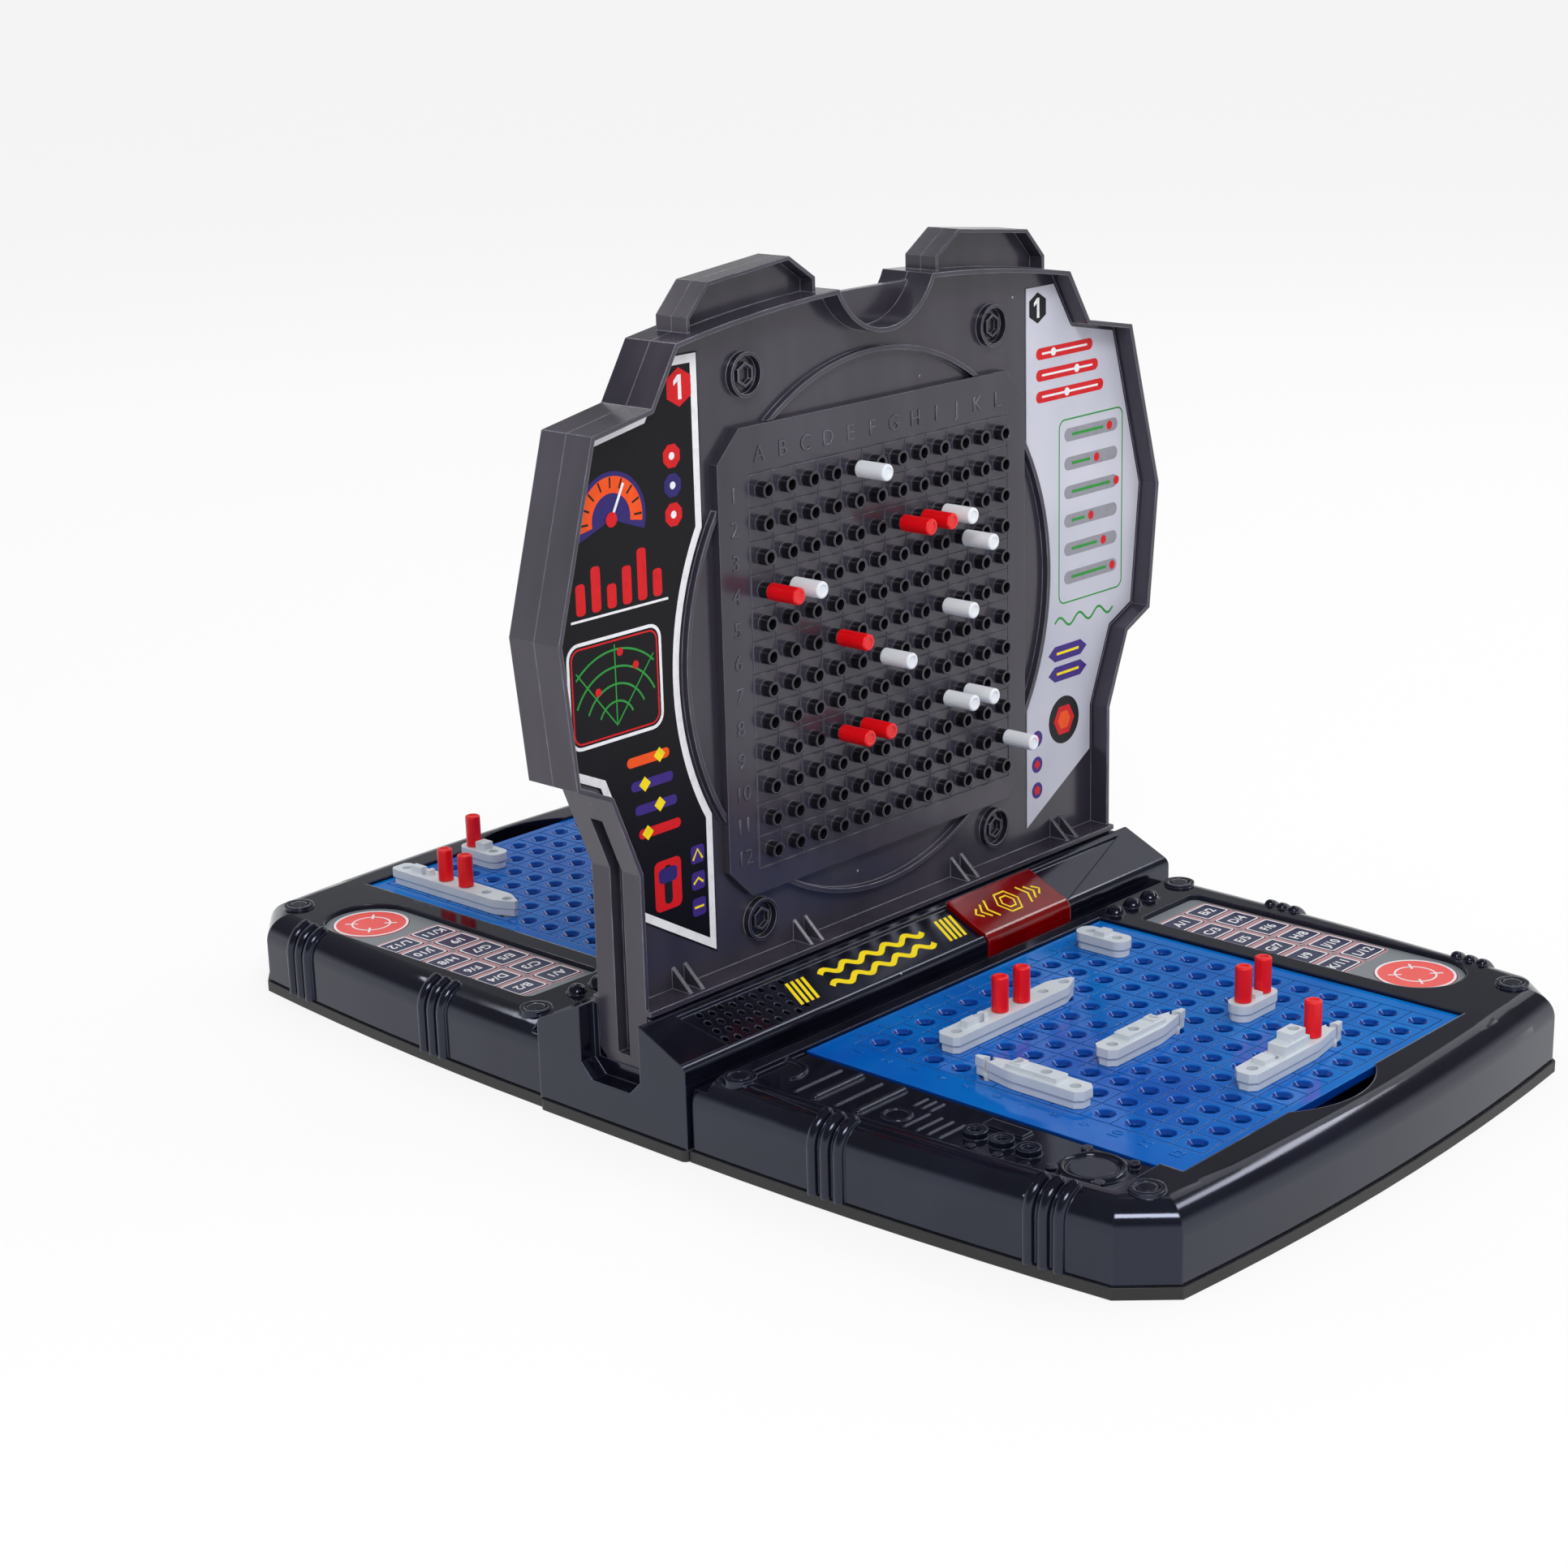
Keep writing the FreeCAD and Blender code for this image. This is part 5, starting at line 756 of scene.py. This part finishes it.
def left_sticker(side, number):
    """Black panel: number plate, depth dial, lamps, level bars, sonar fan, sliders and a lever."""
    edge = mirrored(sticker_edge())
    marks = [("white", 0, [inset(edge, 0.4), inset(edge, 2.9)])]
    marks += [("red", 0, [polygon(-82.6, 217.0, 5.6, 6, math.pi / 6)]),
              ("white", 1, player_number(number, -82.6, 217.0, 7))]
    marks += dial(-111.0, 184.0, 13.5, "orange", 62, 9)
    for step, colour in enumerate(("red", "navy", "red")):
        v = 198.0 - 8.4 * step
        marks += [(colour, 0, [polygon(-86.5, v, 3.6, 8, math.pi / 8)]),
                  ("white", 1, [disc(-86.5, v, 1.1, 20)])]
    for step, tall in enumerate((9.0, 13.0, 7.0, 11.0, 15.0, 8.0)):
        marks.append(("red", 0, [block(-124 + 6.0 * step, 159.0 + tall / 2, 3.6, tall, 1.2)]))
    marks.append(("white", 0, [stroke([(-128, 157.6), (-90, 157.6)], 0.7)]))
    marks += [("white", 0, [block(-112, 136.0, 37, 31, 4.5), block(-112, 136.0, 35, 29, 3.6)]),
              ("red", 0, [block(-112, 136.0, 33.8, 27.8, 3.2), block(-112, 136.0, 32.8, 26.8, 2.8)])]
    for reach in (7, 12, 17, 22):
        wide = max(25, math.degrees(math.acos(min(1, 15.2 / reach))))
        marks.append(("green", 0, [fan(-112, 125.0, reach - 0.3, reach + 0.3, wide, 180 - wide)]))
    for angle in (50, 90, 130):
        marks.append(("green", 1, [stroke(spoke(-112, 125.0, 0, 23.5, angle), 0.45)]))
    for u, v in ((-119, 136), (-104, 141), (-110, 146)):
        marks.append(("red", 2, [disc(u, v, 1.2, 20)]))
    for step, colour in enumerate(("orange", "purple", "purple", "red")):
        v = 112.5 - 7.4 * step
        u = -100.5 + 1.2 * step
        marks += [(colour, 0, [block(u, v, 17, 3.0, 1.4)]),
                  ("yellow", 1, [polygon(u + (4.5, -3.0, 1.5, -5.0)[step], v, 2.3, 4)])]
    marks += [("red", 0, [block(-94.5, 72.5, 11, 15.5, 2.0)]),
              ("black", 1, [block(-94.5, 72.5, 3.2, 12, 1.5)]),
              ("navy", 2, [block(-94.5, 75.5, 7.6, 4.6, 1.6)])]
    for step in range(3):
        v = 78.5 - 8.2 * step
        peak = 1.6 - 0.8 * step
        marks += [("purple", 0, [block(-82.0, v, 5.6, 5.6, 1.2)]),
                  ("yellow", 1, [stroke([(-84, v - peak), (-82, v + peak), (-80, v - peak)], 0.7)])]
    low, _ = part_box("screen_stickers")
    printed(side + "_left_sticker_print", "screen", upright_on(low.y, side), marks)


def right_sticker(side, number):
    """Silver panel: number plate, tracks, tank levels with a wave line, lozenges and a knob."""
    marks = [("black", 0, [polygon(80.8, 219.5, 5.0, 6, math.pi / 6)]),
             ("white", 1, player_number(number, 80.8, 219.5, 6.4))]
    for step in range(3):
        v = 204.5 - 7.0 * step
        reach = 30 + 3 * step
        u = 80.0 + reach / 2
        marks += [("red", 0, [block(u, v, reach, 3.8, 1.9)]),
                  ("white", 1, [block(u, v, reach - 6, 0.7, 0.3)]),
                  ("white", 2, [disc(80.0 + reach * (0.3, 0.65, 0.45)[step], v, 1.35, 20)])]
    marks.append(("green", 0, [block(109.5, 150.5, 35, 62, 3.0), block(109.5, 150.5, 34, 61, 2.6)]))
    for row, full in enumerate((22, 15, 26, 12, 19, 24)):
        v = 176.0 - 9.6 * row
        marks += [("grey", 0, [block(109.5, v, 29, 4.4, 2.2)]),
                  ("red", 1, [disc(97.5 + full, v, 1.5, 20)]),
                  ("green", 1, [block(96.5 + full / 2, v, full - 5, 1.0, 0.4)])]
    marks.append(("green", 0, [stroke(wave(90, 122, 113.5, 1.6, 3), 0.8)]))
    for step in range(2):
        v = 103.0 - 7.0 * step
        low, high = v - 2.6, v + 2.6
        lozenge = [(86.5, v), (90.0, low), (104.0, low), (107.5, v), (104.0, high), (90.0, high)]
        marks += [("purple", 0, [lozenge]),
                  ("yellow", 1, [stroke([(91, v), (103, v)], 0.9)])]
    marks += [("black", 0, [disc(95.0, 79.5, 8.2, 48)]), ("red", 1, [polygon(95.0, 79.5, 5.6, 6)]),
              ("orange", 2, [polygon(95.0, 79.5, 3.4, 6)])]
    for step in range(3):
        v = 76.0 - 9.0 * step
        marks += [("purple", 0, [disc(80.4, v, 2.8, 28)]),
                  ("red", 1, [polygon(80.4, v, 1.7, 3 + step, math.pi / 2)])]
    low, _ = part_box("screen_stickers")
    printed(side + "_right_sticker_print", "screen", upright_on(low.y, side), marks)


for side, number in zip(SIDES, "12"):
    left_sticker(side, number)
    right_sticker(side, number)


# Studio
CEILING_LEVEL, EVEN_LEVEL = 0.16, 0.6
FLOOR_REACH, FLOOR_GAP, FLOOR_GLOW = 25.0, 0.0002, 0.8


def seen_directly(tree):
    """One for rays from the camera, from shiny surfaces and through clear ones."""
    rays = place(tree, "LightPath")
    seen = place(tree, "Math", {0: rays.outputs["Is Camera Ray"], 1: rays.outputs["Is Glossy Ray"]},
                 operation="MAXIMUM")
    clear = place(tree, "Math", {0: seen.outputs[0], 1: rays.outputs["Is Transmission Ray"]},
                  operation="MAXIMUM")
    return clear.outputs[0]


def studio():
    """White round the horizon, with a dim ceiling above it, and plain even light."""
    world = bpy.data.worlds.new("studio")
    bpy.context.scene.world = world
    world.use_nodes = True
    tree = world.node_tree
    way = place(tree, "SeparateXYZ", {0: place(tree, "TexCoord").outputs["Generated"]})
    ceiling = place(tree, "MapRange", {"Value": way.outputs["Z"], "From Min": 0.12, "From Max": 0.36,
                                       "To Min": 1.0, "To Max": CEILING_LEVEL})
    level = place(tree, "Mix", {0: seen_directly(tree), 2: EVEN_LEVEL, 3: ceiling.outputs[0]})
    back = tree.nodes["Background"]
    back.inputs["Color"].default_value = (1, 1, 1, 1)
    tree.links.new(level.outputs[0], back.inputs["Strength"])


def lamp(name, spot, aim, across, along, power):
    """Soft oblong lamp at a spot in metres, turned to its aim, with its power in watts."""
    light = bpy.data.lights.new(name, "AREA")
    light.shape = "RECTANGLE"
    light.size = across
    light.size_y = along
    light.energy = power
    holder = bpy.data.objects.new(name, light)
    bpy.context.scene.collection.objects.link(holder)
    holder.location = spot
    holder.rotation_euler = (Vector(aim) - Vector(spot)).to_track_quat("-Z", "Y").to_euler()


def floor():
    """Pale floor that looks white and still takes the object's shadow."""
    mesh = bpy.data.meshes.new("floor")
    shape = bmesh.new()
    bmesh.ops.create_grid(shape, x_segments=8, y_segments=8, size=FLOOR_REACH)
    shape.to_mesh(mesh)
    shape.free()
    piece = bpy.data.objects.new("floor", mesh)
    bpy.context.scene.collection.objects.link(piece)
    piece.location.z = cad_box[0][2] - FLOOR_GAP
    material, tree, shader = finish("pale_floor", {"Roughness": 0.9, "Base Color": (0.93, 0.93, 0.93, 1)})
    share = place(tree, "Math", {0: seen_directly(tree), 1: FLOOR_GLOW}, operation="MULTIPLY")
    glow = place(tree, "Emission", {"Color": (1, 1, 1, 1), "Strength": 1.0})
    both = place(tree, "MixShader", {0: share.outputs[0], 1: shader.outputs[0], 2: glow.outputs[0]})
    tree.links.new(both.outputs[0], tree.nodes["Material Output"].inputs["Surface"])
    mesh.materials.append(material)


def camera():
    """Camera at the photograph's angle: a long lens from the near player's left."""
    spot = Vector((-0.6582, -0.5792, 0.3511))
    aim = Vector((-0.06565, -0.02396, 0.1))
    roll = math.radians(-1.59)
    ahead = (aim - spot).normalized()
    right = ahead.cross(Vector((0, 0, 1))).normalized()
    up = right.cross(ahead)
    across = math.cos(roll) * right + math.sin(roll) * up
    rise = -math.sin(roll) * right + math.cos(roll) * up
    lens = bpy.data.cameras.new("camera")
    lens.sensor_width = 36.0
    lens.lens = 66.81
    lens.clip_start = 0.01
    lens.clip_end = 50.0
    holder = bpy.data.objects.new("camera", lens)
    bpy.context.scene.collection.objects.link(holder)
    turn = Matrix((across, rise, -ahead)).transposed().to_4x4()
    holder.matrix_world = Matrix.Translation(spot) @ turn
    bpy.context.scene.camera = holder


studio()
floor()
camera()
lamp("soft_key", (-0.9, -1.1, 1.5), (0, 0, 0.05), 0.7, 0.45, 16.0)
lamp("soft_fill", (1.1, -0.6, 1.2), (0, 0, 0.08), 1.4, 0.16, 5.0)
lamp("back_strip", (0.2, 1.3, 1.4), (0, 0, 0.08), 1.4, 0.12, 4.0)
lamp("side_strip", (1.15, 0.2, 1.1), (0, 0, 0.05), 0.5, 1.2, 1.4)
bpy.context.scene.view_settings.view_transform = "Standard"
